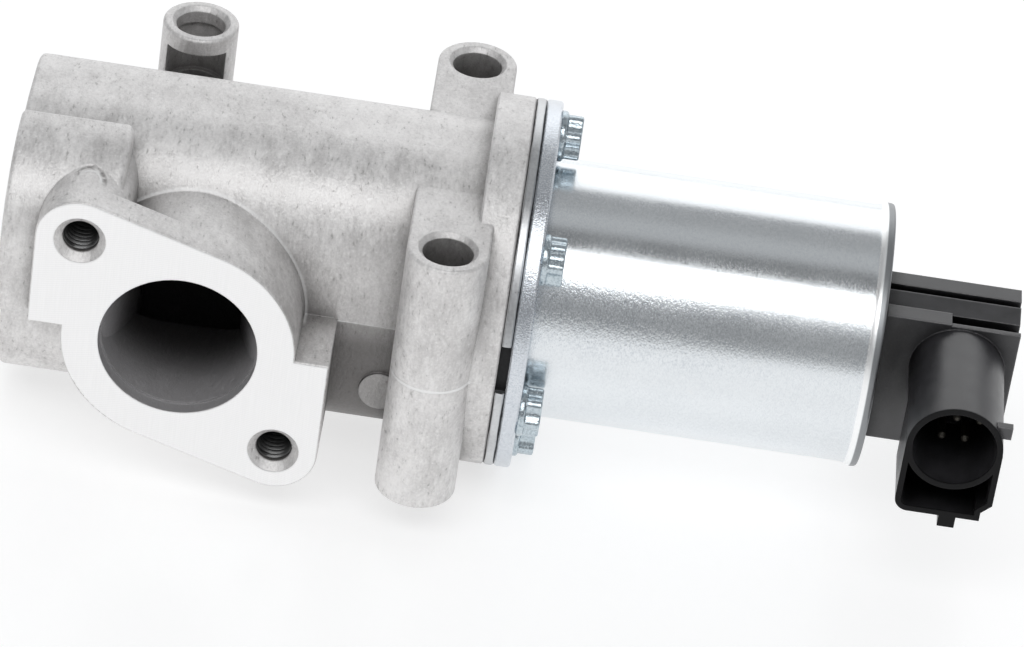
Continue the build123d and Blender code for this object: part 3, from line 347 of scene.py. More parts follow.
class Board:
    """The node tree of one material or of the surround."""

    def __init__(self, owner: bpy.types.Material | bpy.types.World, place: str = "Object") -> None:
        """Clears the owner's tree and adds its coordinates.

        Args:
            owner: the material or surround.
            place: which output of the coordinate node the patterns read.
        """
        self.owner = owner
        owner.use_nodes = True
        self.tree = owner.node_tree
        self.tree.nodes.clear()
        self.place = self.node("ShaderNodeTexCoord", {}, {}, place)

    @classmethod
    def material(cls, name: str) -> "Board":
        """The board of a new material of that name."""
        return cls(bpy.data.materials.new(name))

    def add(self, kind: str, settings: Mapping[str, Any], values: Mapping[Any, Any]) -> bpy.types.Node:
        """Adds a node, sets it up, then fills or links its inputs.

        Args:
            kind: the node's type.
            settings: its properties; "stops" holds a ramp's (place, colour) pairs from 0 to 1.
            values: its inputs by name or number, as wires or plain values.

        Returns:
            The node.
        """
        made = self.tree.nodes.new(kind)
        for key, value in settings.items():
            if key == "stops":
                stops = made.color_ramp.elements
                for at, colour in value[1:-1]:
                    stops.new(at).color = (*colour, 1.0)
                stops[0].color = (*value[0][1], 1.0)
                stops[-1].color = (*value[-1][1], 1.0)
            else:
                setattr(made, key, value)
        for key, value in values.items():
            if isinstance(value, Wire):
                self.tree.links.new(value.socket, made.inputs[key])
            else:
                made.inputs[key].default_value = value
        return made

    def node(
        self, kind: str, settings: Mapping[str, Any], values: Mapping[Any, Any], result: str | int = 0
    ) -> Wire:
        """One output, by name or number, of a new node."""
        return Wire(self, self.add(kind, settings, values).outputs[result])

    def parts(self, vector: Wire) -> tuple[Wire, Wire, Wire]:
        """The x, y and z of a vector."""
        split = self.add("ShaderNodeSeparateXYZ", {}, {0: vector})
        return tuple(Wire(self, split.outputs[k]) for k in range(3))

    def mapped(self, centre: Triple, scale: Triple) -> Wire:
        """Object coordinates about a centre, stretched."""
        values = {"Vector": self.place, "Location": centre, "Scale": scale}
        return self.node("ShaderNodeMapping", {"vector_type": "TEXTURE"}, values)

    def noise(
        self, size: float, detail: float = 2.0, roughness: float = 0.5, stretch: Triple = (1, 1, 1), seed: float = 0
    ) -> Wire:
        """Soft noise with grains of about the given size.

        Args:
            size: a grain's width, in metres.
            detail: finer octaves.
            roughness: their strength.
            stretch: how much longer the grain is along each axis.
            seed: a shift that gives another pattern.

        Returns:
            Values about 0.5.
        """
        vector = self.mapped((seed, seed * 0.7, seed * 1.3), stretch)
        values = {"Vector": vector, "Scale": 1.0 / size, "Detail": detail, "Roughness": roughness}
        return self.node("ShaderNodeTexNoise", {}, values)

    def distance(self, across: Wire, along: Wire) -> Wire:
        """The distance from the line on which both values are 0."""
        return (across * across + along * along).math("SQRT")

    def blend(self, factor: Wire | float, low: Wire | Triple, high: Wire | Triple) -> Wire:
        """Two colours mixed by a factor.

        Args:
            factor: the share of the second colour.
            low: the first colour.
            high: the second colour.

        Returns:
            The mixed colour.
        """
        low, high = (c if isinstance(c, Wire) else (*c, 1.0) for c in (low, high))
        values = {MIX_FACTOR: factor, MIX_LOW: low, MIX_HIGH: high}
        return self.node("ShaderNodeMix", {"data_type": "RGBA"}, values, MIX_RESULT)

    def rounded(self, radius: float) -> Wire:
        """The normal with edges rounded to a radius."""
        return self.node("ShaderNodeBevel", {"samples": 6}, {"Radius": radius})

    def bump(self, height: Wire, depth: float, normal: Wire | None = None, strength: float = 1.0) -> Wire:
        """Bends the normal by a height.

        Args:
            height: the height, about 0 to 1.
            depth: how far 1 stands out, in metres.
            normal: the normal to bend, or none for the surface's own.
            strength: the share of the bump that is used.

        Returns:
            The bent normal.
        """
        values: dict[str, Any] = {"Height": height, "Distance": depth, "Strength": strength}
        if normal is not None:
            values["Normal"] = normal
        return self.node("ShaderNodeBump", {}, values)

    def edges(self, radius: float) -> Wire:
        """Finds outer edges and inner corners, where the rounded normal leaves the true one.

        Args:
            radius: how far the rounding reaches, in metres.

        Returns:
            About 1 there, else 0.
        """
        true = self.node("ShaderNodeNewGeometry", {}, {}, "Normal")
        both = {0: self.rounded(radius), 1: true}
        turned = self.node("ShaderNodeVectorMath", {"operation": "DOT_PRODUCT"}, both, "Value")
        return turned.ramp(0.995, 0.80)

    def open_air(self, reach: float) -> Wire:
        """1 where nothing stands within reach of the surface, less in corners and hollows."""
        return self.node("ShaderNodeAmbientOcclusion", {"samples": 4}, {"Distance": reach}, "AO")

    def finish(self, colour: Wire, values: Mapping[str, Any]) -> bpy.types.Material:
        """Puts a Principled shader on the board.

        Args:
            colour: the base colour.
            values: the shader's other inputs.

        Returns:
            The material.
        """
        shader = self.node("ShaderNodeBsdfPrincipled", {}, {"Base Color": colour, **values})
        self.add("ShaderNodeOutputMaterial", {}, {"Surface": shader})
        return self.owner


# ---------------------------------------------------------------- finishes


class Finish(Protocol):
    """What every finish can do."""

    def material(self) -> bpy.types.Material:
        """The node material."""


@dataclass(frozen=True)
class CastAluminium:
    """Die-cast, blasted aluminium with milled faces and a parting line, darkened by painted shade in its corners,
    passages and holes and on the barrel's underside, and lit by painted highlights on its edges, grains and lines.

    Places are the (x, z) of the holes and of the side lug, the (x, y) of the front boss, and the x, y and least
    height of the ejector pin's mark, in metres.
    """

    dark: Triple = (0.55, 0.537, 0.532)
    bright: Triple = (0.90, 0.887, 0.88)
    # painted highlight colour, for grain glints, edges and lines
    glint: Triple = (0.94, 0.94, 0.94)
    pit: Triple = (0.27, 0.26, 0.254)
    # painted shade colour, for corners, hollows, the threaded holes, the ejector furrow and the barrel's underside
    painted_shade: Triple = (0.075, 0.068, 0.064)
    milled: Triple = (0.98, 0.975, 0.975)
    milled_low: Triple = (0.92, 0.915, 0.915)
    skin: Triple = (0.50, 0.49, 0.50)
    # painted shade, deep in the gas passages
    passage_shade: Triple = (0.075, 0.072, 0.074)
    flange_end_x: float = 32.0 * MM
    inlet_x: float = -35.25 * MM
    port_r: float = 15.0 * MM
    port_step: float = 3.0 * MM
    neck_r: float = 22.1 * MM
    bore_r: float = 17.9 * MM
    holes: tuple[Pair, Pair] = LUG_HOLES
    hole_r: float = 3.4 * MM
    ejector: Triple = (-20.1 * MM, 8.4 * MM, 25.0 * MM)
    side_lug: Pair = (38.15 * MM, -14.4 * MM)
    side_lug_r: float = 4.0 * MM
    boss: Pair = (47.45 * MM, 5.3 * MM)
    boss_r: float = 7.7 * MM

    def milled_mask(self, board: Board) -> Wire:
        """Finds the faces that a cutter has passed.

        Args:
            board: the material's board.

        Returns:
            1 there, else 0.
        """
        x, y, _ = board.parts(board.place)
        outlet = abs(y).ramp(0.10 * MM, 0.04 * MM) * x.ramp(self.flange_end_x + 1 * MM, self.flange_end_x)
        inlet = (x - self.inlet_x).ramp(0.10 * MM, 0.04 * MM)
        return outlet.either(inlet)

    def passage_mask(self, board: Board) -> Wire:
        """Finds the gas passages, whose skin is darker and deepens into painted shade further in.

        Args:
            board: the material's board.

        Returns:
            1 there, else 0.
        """
        x, y, z = board.parts(board.place)
        port = board.distance(x, z).ramp(self.port_r + 0.12 * MM, self.port_r + 0.05 * MM)
        port = port * y.ramp(0.05 * MM, 0.4 * MM) * y.ramp(AXIS_Y, AXIS_Y - 1 * MM)
        bore = board.distance(y - AXIS_Y, z).ramp(self.bore_r + 0.1 * MM, self.bore_r)
        return port.either(bore * x.ramp(JOINT_X - 1 * MM, JOINT_X - 2 * MM))

    def drilled_mask(self, board: Board) -> Wire:
        """Finds the depth of the two threaded holes, which painted shade darkens.

        Args:
            board: the material's board.

        Returns:
            1 there, else 0.
        """
        x, y, z = board.parts(board.place)
        near = [
            board.distance(x - at_x, z - at_z).ramp(self.hole_r + 0.2 * MM, self.hole_r + 0.05 * MM)
            for at_x, at_z in self.holes
        ]
        return near[0].either(near[1]) * y.ramp(0.6 * MM, 3.0 * MM) * y.ramp(19 * MM, 18 * MM)

    def ejector_scar(self, board: Board) -> tuple[Wire, Wire]:
        """Draws the mark that an ejector pin left on the upper lug.

        Args:
            board: the material's board.

        Returns:
            The light curved ridge, a painted highlight, and the dark furrow outside it, a painted shadow.
        """
        x, y, z = board.parts(board.place)
        at_x, at_y, low_z = self.ejector
        across, along = x - at_x, (y - at_y) * 0.75
        worn = board.noise(1.6 * MM, 2.0, 0.6, seed=8.0).ramp(0.36, 0.58, 0.2, 1.0)
        away = board.distance(across, along) + worn * 0.25 * MM
        part = z.ramp(low_z, low_z + 1 * MM) * (along + across * 0.3).ramp(-0.4 * MM, 0.9 * MM) * worn
        # painted highlight on the ridge and painted shadow in the furrow outside it
        light = abs(away - 2.3 * MM).ramp(0.45 * MM, 0.1 * MM) * part
        dark = abs(away - 3.1 * MM).ramp(0.6 * MM, 0.1 * MM) * part
        return light, dark

    def web_shade(self, board: Board) -> Wire:
        """Draws painted shade on the barrel under the parting line, between the flange's web and the front boss.

        Args:
            board: the material's board.

        Returns:
            1 there, else 0.
        """
        x, y, z = board.parts(board.place)
        from_lug = board.distance(x - self.side_lug[0], z - self.side_lug[1])
        lug = from_lug.ramp(self.side_lug_r, self.side_lug_r + 0.3 * MM)
        between = x.ramp(26 * MM, 29 * MM) * x.ramp(43 * MM, 40 * MM) * y.ramp(6 * MM, 9 * MM)
        lower = z.ramp(0.3 * MM, -0.6 * MM, 0.0, 0.65) + z.ramp(-0.6 * MM, -6 * MM, 0.0, 0.35)
        return between * lower * y.ramp(AXIS_Y, AXIS_Y - 1 * MM) * (lug * 0.72 + 0.28)

    def seam(self, board: Board) -> Wire:
        """Draws the parting line, bumped and lit by a painted highlight: faint all round the casting, a bead standing
        proud on the front boss.

        Args:
            board: the material's board.

        Returns:
            1 on the line, else 0.
        """
        x, y, z = board.parts(board.place)
        broken = board.noise(8 * MM, 2.0, 0.5, seed=6.0).ramp(0.42, 0.60, 0.25, 0.8)
        line = abs(z).ramp(0.20 * MM, 0.05 * MM) * broken
        from_boss = board.distance(x - self.boss[0], y - self.boss[1])
        near_boss = from_boss.ramp(self.boss_r + 0.5 * MM, self.boss_r + 0.2 * MM)
        front = y.ramp(self.boss[1] + 2 * MM, self.boss[1])
        bead = abs(z + 0.1 * MM).ramp(0.42 * MM, 0.22 * MM) * near_boss * front
        return line.either(bead)

    def fillet_highlight(self, board: Board) -> Wire:
        """Draws a painted highlight line where the outlet neck runs into the barrel.

        Args:
            board: the material's board.

        Returns:
            1 on the line, else 0.
        """
        x, y, z = board.parts(board.place)
        away = board.distance(x, z)
        band = away.ramp(self.neck_r + 0.05 * MM, self.neck_r + 0.15 * MM)
        band = band * away.ramp(self.neck_r + 0.85 * MM, self.neck_r + 0.35 * MM)
        return band * y.ramp(12 * MM, 14 * MM) * y.ramp(31 * MM, 29 * MM)

    def material(self) -> bpy.types.Material:
        """Makes the finish on a board of its own.

        Returns:
            The node material.
        """
        board = Board.material("cast_aluminium_finish")
        milled, passage = self.milled_mask(board), self.passage_mask(board)
        seam = self.seam(board) * (1.0 - milled)
        lit_arch, shaded_groove = self.ejector_scar(board)
        grain = board.noise(0.5 * MM, 3.0, 0.6)
        fleck = board.noise(1.0 * MM, 3.0, 0.6, stretch=(0.7, 1.7, 1.7), seed=0.4)
        cloud = board.noise(6 * MM, 4.0, 0.65, stretch=(0.7, 1.4, 1.4), seed=1.0)
        flow = board.noise(22 * MM, 2.0, 0.5, seed=2.0)
        ambient = board.open_air(11 * MM)
        # painted highlight on outer edges and inner corners, kept out of the deep places
        edge_highlight = board.edges(0.5 * MM) * ambient.ramp(0.55, 0.8) * (1.0 - passage)
        tone = grain * 0.3 + fleck * 0.4 + cloud * 0.55 + flow * 0.35 - 0.3
        colour = board.blend(tone.ramp(0.25, 0.75), self.dark, self.bright)
        # painted glints on random grains
        colour = board.blend(grain.ramp(0.62, 0.72) * 0.45, colour, self.glint)
        colour = board.blend(fleck.ramp(0.38, 0.28) * 0.5, colour, self.pit)
        colour = board.blend(edge_highlight * 0.55, colour, self.glint)
        # painted shade in corners and hollows, from the occlusion node
        colour = board.blend(ambient.ramp(0.9, 0.15, 0.0, 0.88), colour, self.painted_shade)
        # painted shade under the parting line, and painted shadow beside the ejector mark
        shaded = (self.web_shade(board) * 0.72).either(shaded_groove * 0.6)
        colour = board.blend(shaded, colour, self.painted_shade)
        # painted highlights on the parting line, the neck's junction and the ejector mark
        lit_marks = (seam * 0.75).either(self.fillet_highlight(board) * 0.45).either(lit_arch * 0.55)
        colour = board.blend(lit_marks, colour, self.glint)
        x, y, z = board.parts(board.place)
        # painted shade: a dark line at the port's step, and the passage skin darkening with depth
        ledge = abs(y - self.port_step).ramp(0.12 * MM, 0.06 * MM) * 0.6
        depth = (y + grain * 2 * MM).ramp(3 * MM, 25 * MM).either(ledge)
        colour = board.blend(passage, colour, board.blend(depth, self.skin, self.passage_shade))
        # painted shade inside the threaded holes
        colour = board.blend(self.drilled_mask(board) * 0.9, colour, self.painted_shade)
        arcs = (board.distance(x, z + 110 * MM) * (2 * math.pi / (0.42 * MM))).wave()
        scratch = board.noise(0.3 * MM, 2.0, 0.6, stretch=(1, 1, 30), seed=3.0)
        cut = board.blend((arcs * 0.2 + scratch).ramp(0.2, 0.9), self.milled_low, self.milled)
        colour = board.blend(milled, colour, cut)
        rough = (fleck * 0.5 + cloud * 0.5).ramp(0.3, 0.7, 0.40, 0.58) * (1.0 - milled)
        rough = rough + milled * scratch.ramp(0.2, 0.8, 0.30, 0.42)
        pits = grain * 0.45 + fleck * 0.8 + cloud * 1.2
        height = pits * (1.0 - milled) + (arcs * 0.012 + scratch * 0.03) * milled + seam * 0.9 + lit_arch - shaded_groove
        normal = board.bump(height, 0.2 * MM, board.rounded(0.45 * MM), 0.7)
        return board.finish(colour, {"Metallic": 0.5, "Roughness": rough, "Normal": normal})


@dataclass(frozen=True)
class ZincSheet:
    """Bright zinc plate on drawn or rolled steel.

    A calm sheet is the drawn can: spangled along one strip of its front, lit by a painted highlight on the flare that
    starts at the first crimp_x, and dull on the rim past the second.
    """

    name: str = "zinc_can_finish"
    light: Triple = (0.815, 0.845, 0.865)
    deep: Triple = (0.55, 0.585, 0.625)
    grain: Triple = (0.7, 1.1, 1.1)
    gloss: Pair = (0.10, 0.20)
    depth: float = 0.11 * MM
    stain: Triple = (0.80, 0.80, 0.80)
    flare_highlight: Triple = (0.96, 0.97, 0.97)
    calm: bool = False
    crimp_x: Pair = (127.9 * MM, 129.1 * MM)
    rim: Triple = (0.29, 0.30, 0.31)
    spangled_x: Pair = (78 * MM, 116 * MM)
    spangled_z: Quad = (0.5 * MM, 5 * MM, 13 * MM, 18 * MM)

    def spangled(self, board: Board) -> Wire | float:
        """Works out how strongly the plating is spangled.

        Args:
            board: the material's board.

        Returns:
            1 everywhere, or on a calm sheet about 1 on its strip and little elsewhere.
        """
        if not self.calm:
            return 1.0
        x, y, z = board.parts(board.place)
        low, full_low, full_high, high = self.spangled_z
        strip = z.ramp(low, full_low) * z.ramp(high, full_high) * y.ramp(AXIS_Y - 6 * MM, AXIS_Y - 10 * MM)
        return strip * x.ramp(*self.spangled_x, 0.9, 0.3) + 0.1

    def material(self) -> bpy.types.Material:
        """Makes the finish on a board of its own.

        Returns:
            The node material.
        """
        board = Board.material(self.name)
        share = self.spangled(board)
        fine = board.noise(0.36 * MM, 2.0, 0.6, stretch=self.grain)
        spangle = board.noise(0.8 * MM, 2.0, 0.6, stretch=self.grain, seed=3.1)
        drawn = board.noise(1.3 * MM, 2.0, 0.5, stretch=(0.5, 3.0, 3.0), seed=1.5)
        cloud = board.noise(12 * MM, 3.0, 0.55, seed=0.7)
        tone = fine * 0.6 + spangle * 0.25 + cloud * 0.15
        colour = board.blend(1.0 - tone.ramp(0.62, 0.28) * (share * 0.7 + 0.3), self.deep, self.light)
        stain = board.noise(5 * MM, 4.0, 0.7, seed=5.0).ramp(0.62, 0.78) * 0.25
        colour = board.blend(stain, colour, self.stain)
        rough = (fine * 0.7 + cloud * 0.3).ramp(0.3, 0.7, *self.gloss)
        if self.calm:
            x, _, _ = board.parts(board.place)
            start, crest = self.crimp_x
            rim = x.ramp(crest, crest + 0.3 * MM)
            flare = x.ramp(start, start + 0.4 * MM) * (1.0 - rim)
            # painted highlight on the flare
            colour = board.blend(flare, colour, self.flare_highlight)
            colour = board.blend(rim, colour, self.rim)
            rough = rough + flare * 0.12 + rim * 0.2
        height = (fine * 0.7 + spangle * 0.8) * share + drawn * 0.2
        normal = board.bump(height, self.depth, board.rounded(0.3 * MM), 0.6)
        return board.finish(colour, {"Metallic": 1.0, "Roughness": rough, "Normal": normal})


@dataclass(frozen=True)
class LayeredGasket:
    """Steel faces over a dark fibre core that shows in the joint lines and in the rim's slot."""

    steel: Triple = (0.66, 0.67, 0.68)
    steel_low: Triple = (0.48, 0.49, 0.50)
    core: Triple = (0.012, 0.012, 0.013)
    slot_r: float = 34.6 * MM
    thickness: float = 2.0 * MM

    def material(self) -> bpy.types.Material:
        """Makes the finish on a board of its own.

        Returns:
            The node material.
        """
        board = Board.material("gasket_finish")
        x, y, z = board.parts(board.place)
        across = y - AXIS_Y
        inside = board.distance(across, z).ramp(self.slot_r, self.slot_r - 0.2 * MM)
        grain = board.noise(0.5 * MM, 3.0, 0.65)
        cloud = board.noise(7 * MM, 2.0, 0.5, seed=1.0)
        left = x - JOINT_X
        right = self.thickness - left
        width = cloud.ramp(0.35, 0.65, 0.10 * MM, 0.24 * MM)
        lines = (width - left).either(width - right).ramp(-0.05 * MM, 0.03 * MM)
        dark = inside.either(lines)
        colour = board.blend((grain * 0.5 + cloud * 0.5).ramp(0.3, 0.7), self.steel_low, self.steel)
        colour = board.blend(dark, colour, self.core)
        rough = dark * 0.3 + grain.ramp(0.2, 0.8, 0.26, 0.42)
        normal = board.bump(grain, 0.03 * MM, board.rounded(0.2 * MM), 0.5)
        return board.finish(colour, {"Metallic": 1.0 - dark, "Roughness": rough, "Normal": normal})


@dataclass(frozen=True)
class TurnedMetal:
    """Turned, ground or drawn metal with fine rings along X."""

    name: str
    colour: Triple
    roughness: float = 0.3
    rings: float = 0.18 * MM

    def material(self) -> bpy.types.Material:
        """Makes the finish on a board of its own.

        Returns:
            The node material.
        """
        board = Board.material(self.name)
        x, _, _ = board.parts(board.place)
        grain = board.noise(0.6 * MM, 3.0, 0.6)
        cloud = board.noise(6 * MM, 2.0, 0.5, seed=1.0)
        tools = (x * (2 * math.pi / self.rings) + grain * 2.0).wave() * 0.5 + 0.5
        dark = tuple(c * 0.72 for c in self.colour)
        colour = board.blend((cloud * 0.6 + grain * 0.25 + tools * 0.15).ramp(0.25, 0.75), dark, self.colour)
        rough = grain.ramp(0.2, 0.8, self.roughness * 0.8, self.roughness * 1.3)
        normal = board.bump(tools * 0.4 + grain * 0.6, 0.02 * MM, board.rounded(0.2 * MM), 0.5)
        return board.finish(colour, {"Metallic": 1.0, "Roughness": rough, "Normal": normal})


@dataclass(frozen=True)
class MouldedPlastic:
    """Moulded plastic with a fine spark-eroded texture, painted shade in its hollows, and edges lightened partly by
    wear and partly by a painted highlight.
    """

    name: str
    colour: Triple
    roughness: float = 0.42
    edge: Triple = (0.10, 0.10, 0.105)
    edge_share: float = 0.5
    shine: float = 0.5
    edge_r: float = 0.3 * MM

    def hollows(self, board: Board) -> Wire:
        """1 in the deep places, where painted shade darkens the plastic to near black."""
        return board.open_air(9 * MM).ramp(0.75, 0.35)

    def material(self) -> bpy.types.Material:
        """Makes the finish on a board of its own.

        Returns:
            The node material.
        """
        board = Board.material(self.name)
        grain = board.noise(0.22 * MM, 2.0, 0.6)
        cloud = board.noise(4 * MM, 4.0, 0.65, seed=2.0)
        flow = board.noise(9 * MM, 2.0, 0.5, stretch=(1, 3, 1), seed=4.0)
        hollows = self.hollows(board)
        low = tuple(c * 0.7 for c in self.colour)
        high = tuple(c * 1.5 for c in self.colour)
        # painted shade colour
        deep = tuple(c * 0.12 for c in self.colour)  # near black, for hollows
        colour = board.blend((cloud * 0.55 + grain * 0.15 + flow * 0.3).ramp(0.3, 0.7), low, high)
        # edges lightened partly by wear and partly by a painted highlight
        worn_and_lit_edges = board.edges(self.edge_r) * (grain * 0.6 + cloud * 0.9).ramp(0.5, 0.95, 0.35, 1.0)
        colour = board.blend(worn_and_lit_edges * (1.0 - hollows) * self.edge_share, colour, self.edge)
        colour = board.blend(hollows, colour, deep)
        rough = (grain * 0.4 + cloud * 0.6).ramp(0.25, 0.75, self.roughness * 0.8, self.roughness * 1.25)
        rough = rough + hollows * 0.3
        normal = board.bump(grain * 0.6 + cloud * 0.5, 0.05 * MM, board.rounded(self.edge_r), 0.6)
        values = {"Metallic": hollows * 0.92, "Roughness": rough, "Normal": normal, "Specular IOR Level": self.shine}
        return board.finish(colour, values)


@dataclass(frozen=True)
class SocketPlastic(MouldedPlastic):
    """The head's plastic, made full black by painted shade on the faces round the connector's mouth."""

    mouth_y: float = -1.0 * MM

    def hollows(self, board: Board) -> Wire:
        """1 in deep places and at the mouth, where painted shade goes."""
        _, y, _ = board.parts(board.place)
        return super().hollows(board).either(y.ramp(self.mouth_y, self.mouth_y - 0.5 * MM) * 0.85)


@dataclass(frozen=True)
class EnamelledWinding:
    """Copper wire turns laid side by side, with painted shade between the turns and a painted highlight along their
    tops.
    """

    wire: float = 0.5 * MM
    shaded_groove: Triple = (0.26, 0.09, 0.04)
    lit_crown: Triple = (0.80, 0.40, 0.20)

    def material(self) -> bpy.types.Material:
        """Makes the finish on a board of its own.

        Returns:
            The node material.
        """
        board = Board.material("winding_finish")
        x, _, _ = board.parts(board.place)
        turns = (x * (2 * math.pi / self.wire)).wave() * 0.5 + 0.5
        cloud = board.noise(3 * MM, 2.0, 0.5)
        # painted shade between the turns and painted highlight on their tops
        colour = board.blend((turns * 0.6 + cloud * 0.4).ramp(0.1, 0.9), self.shaded_groove, self.lit_crown)
        rough = cloud.ramp(0.2, 0.8, 0.22, 0.38)
        normal = board.bump(turns, 0.2 * MM, None, 0.8)
        return board.finish(colour, {"Metallic": 0.9, "Roughness": rough, "Normal": normal})


@dataclass(frozen=True)
class StudioFloor:
    """A pale, faintly glossy table top."""

    colour: Triple = (0.46, 0.463, 0.466)
    cloudiness: float = 0.015
    glow: float = 0.64

    def material(self) -> bpy.types.Material:
        """Makes the finish on a board of its own.

        Returns:
            The node material.
        """
        board = Board.material("floor_finish")
        cloud = board.noise(120 * MM, 2.0, 0.5)
        low = tuple(c * (1.0 - self.cloudiness) for c in self.colour)
        colour = board.blend(cloud, low, self.colour)
        rough = cloud.ramp(0.2, 0.8, 0.30, 0.36)
        glow = {"Emission Color": (1.0, 1.0, 1.0, 1.0), "Emission Strength": self.glow}
        return board.finish(colour, {"Roughness": rough, "Specular IOR Level": 0.35, **glow})


class Palette:
    """All finishes, by the record's material slot."""

    finishes: ClassVar[Mapping[str, Finish]] = {
        "cast_aluminium": CastAluminium(),
        "can_steel": ZincSheet(gloss=(0.16, 0.26), calm=True),
        "plate_steel": ZincSheet(
            "zinc_plate_finish",
            light=(0.72, 0.75, 0.79),
            deep=(0.48, 0.52, 0.57),
            grain=(0.6, 0.6, 0.6),
            gloss=(0.16, 0.30),
        ),
        "gasket_steel": LayeredGasket(),
        "screw_steel": ZincSheet(
            "zinc_screw_finish",
            light=(0.58, 0.65, 0.69),
            deep=(0.30, 0.37, 0.42),
            grain=(1, 1, 1),
            gloss=(0.14, 0.28),
        ),
        "seat_steel": TurnedMetal("seat_finish", (0.60, 0.59, 0.57), 0.28),
        "valve_steel": TurnedMetal("valve_finish", (0.50, 0.49, 0.47), 0.3),
        "spring_steel": TurnedMetal("spring_finish", (0.45, 0.45, 0.46), 0.3),
        "bush_bronze": TurnedMetal("bush_finish", (0.62, 0.42, 0.22), 0.32),
        "core_iron": TurnedMetal("core_finish", (0.42, 0.42, 0.43), 0.36),
        "sleeve_steel": TurnedMetal("sleeve_finish", (0.62, 0.62, 0.62), 0.22),
        # near black: painted shade for the pins deep in the connector's socket
        "contact_metal": TurnedMetal("contact_finish", (0.08, 0.075, 0.065), 0.5),
        "seal_rubber": MouldedPlastic(
            "seal_finish", (0.018, 0.018, 0.018), 0.6, edge=(0.04, 0.04, 0.04), edge_share=0.2
        ),
        "bobbin_plastic": MouldedPlastic(
            "bobbin_finish", (0.10, 0.10, 0.11), 0.5, edge=(0.2, 0.2, 0.2), edge_share=0.3
        ),
        "head_plastic": SocketPlastic(
            "head_finish",
            (0.022, 0.0215, 0.024),
            0.36,
            edge=(0.26, 0.255, 0.265),
            edge_share=1.0,
            shine=0.9,
            edge_r=0.45 * MM,
        ),
        "slider_plastic": MouldedPlastic(
            "slider_finish", (0.70, 0.68, 0.60), 0.45, edge=(0.8, 0.78, 0.7), edge_share=0.3
        ),
        "track_board": MouldedPlastic(
            "track_finish", (0.03, 0.12, 0.07), 0.35, edge=(0.1, 0.2, 0.15), edge_share=0.3
        ),
        "winding_copper": EnamelledWinding(),
        "cut_thread": TurnedMetal("cut_thread_finish", (0.20, 0.20, 0.20), 0.36),
    }

    def __init__(self) -> None:
        """Makes every material once."""
        self.by_slot = {slot: finish.material() for slot, finish in self.finishes.items()}

    def dress_nodes(self) -> None:
        """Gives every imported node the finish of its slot."""
        for entry in frame["record"]["subparts"]:
            node = frame["nodes"][entry["node"]]
            for held in node.material_slots:
                held.material = self.by_slot[entry["material_slot"]]
            LOG.info("%s dressed as %s", entry["node"], entry["material_slot"])

    def __getitem__(self, slot: str) -> bpy.types.Material:
        """The finish of a slot."""
        return self.by_slot[slot]


# ---------------------------------------------------------------- sub-assemblies


@dataclass
class OutletThreads:
    """The two screw threads in the outlet flange's lugs. Sizes are in millimetres."""

    palette: Palette
    hole_r: float = 3.38
    ridge: float = 0.46
    pitch: float = 1.25
    start: float = 1.35
    length: float = 14.5
    places: tuple[Pair, Pair] = LUG_HOLES

    def build(self) -> None:
        """Winds a ridge in each hole."""
        ridge = screw_ridge(self.hole_r * MM, self.ridge * MM, self.pitch * MM, self.length * MM)
        for name, (x, z) in zip(("outlet_thread_upper", "outlet_thread_lower"), self.places):
            grid = moved(ridge, x, self.start * MM, z)
            Piece(name, "cast_aluminium").from_grids([grid], self.palette["cut_thread"], (False, True), 40.0)


@dataclass
class JointScrews:
    """Six external-lobe screws with captive washers, round the steel plate.

    Sizes are in millimetres, and x counts from the joint face.
    """

    palette: Palette
    circle_r: float = 30.7
    first_deg: float = -13.0
    count: int = 6
    face_x: float = 5.2
    tip_x: float = -5.2
    shank_r: float = 2.5
    washer_r: float = 4.9
    head_r: float = 4.15
    lobes: int = 6
    lobe: float = 0.115
    head_top_x: float = 9.4
    steps: int = 96
    spin_deg: float = 17.0

    def profile(self) -> np.ndarray:
        """Draws the screw's half section.

        Returns:
            Its (x, radius) rows, from the tip to the head's hollow, in metres.
        """
        face, top = self.face_x, self.head_top_x
        return softened(
            [
                (self.tip_x, 0.0, 0.0),
                (self.tip_x, self.shank_r, 0.5),
                (face, self.shank_r, 0.05),
                (face, self.washer_r, 0.15),
                (face + 0.9, self.washer_r, 0.3),
                (face + 1.25, self.head_r + 0.35, 0.2),
                (face + 1.3, self.head_r, 0.15),
                (top, self.head_r, 0.45),
                (top, self.head_r - 1.3, 0.2),
                (top - 0.35, self.head_r - 1.7, 0.2),
                (top - 0.35, 0.0, 0.0),
            ]
        )

    def screw(self) -> np.ndarray:
        """One screw about the X axis.

        The head's radius is r (1 + a c |c|^-0.3), where c = cos 6t, which squares the lobes off. The share is 1 on
        the head's outside past the washer's cone, and 0 on the washer, the shank and the hollow.

        Returns:
            A grid of points, angle by profile row.
        """
        profile = self.profile()
        angle = np.linspace(0.0, 2 * np.pi, self.steps, endpoint=False)[:, None]
        wave = np.cos(self.lobes * angle)
        swell = self.lobe * np.sign(wave) * np.abs(wave) ** 0.7
        x, radius = profile[None, :, 0] / MM, profile[None, :, 1]
        share = np.clip((x - self.face_x - 1.2) / 0.12, 0.0, 1.0) * (radius > (self.head_r - 1.2) * MM)
        return spun(profile, self.steps, 1.0 + swell * share)

    def build(self) -> None:
        """Places the screws, each turned a little differently."""
        screw = self.screw()
        grids = []
        for index in range(self.count):
            t = math.radians(self.first_deg + index * 360.0 / self.count)
            turn = math.radians(self.spin_deg * index)
            cos, sin = math.cos(turn), math.sin(turn)
            spin = np.array([[1, 0, 0], [0, cos, -sin], [0, sin, cos]])
            y, z = -self.circle_r * math.sin(t) * MM, self.circle_r * math.cos(t) * MM
            grids.append(moved(screw @ spin.T, JOINT_X, AXIS_Y + y, z))
        made = Piece("joint_screws", "screw_steel").from_grids(grids, self.palette["screw_steel"], (True, False), 38.0)
        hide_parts("plate_screws")


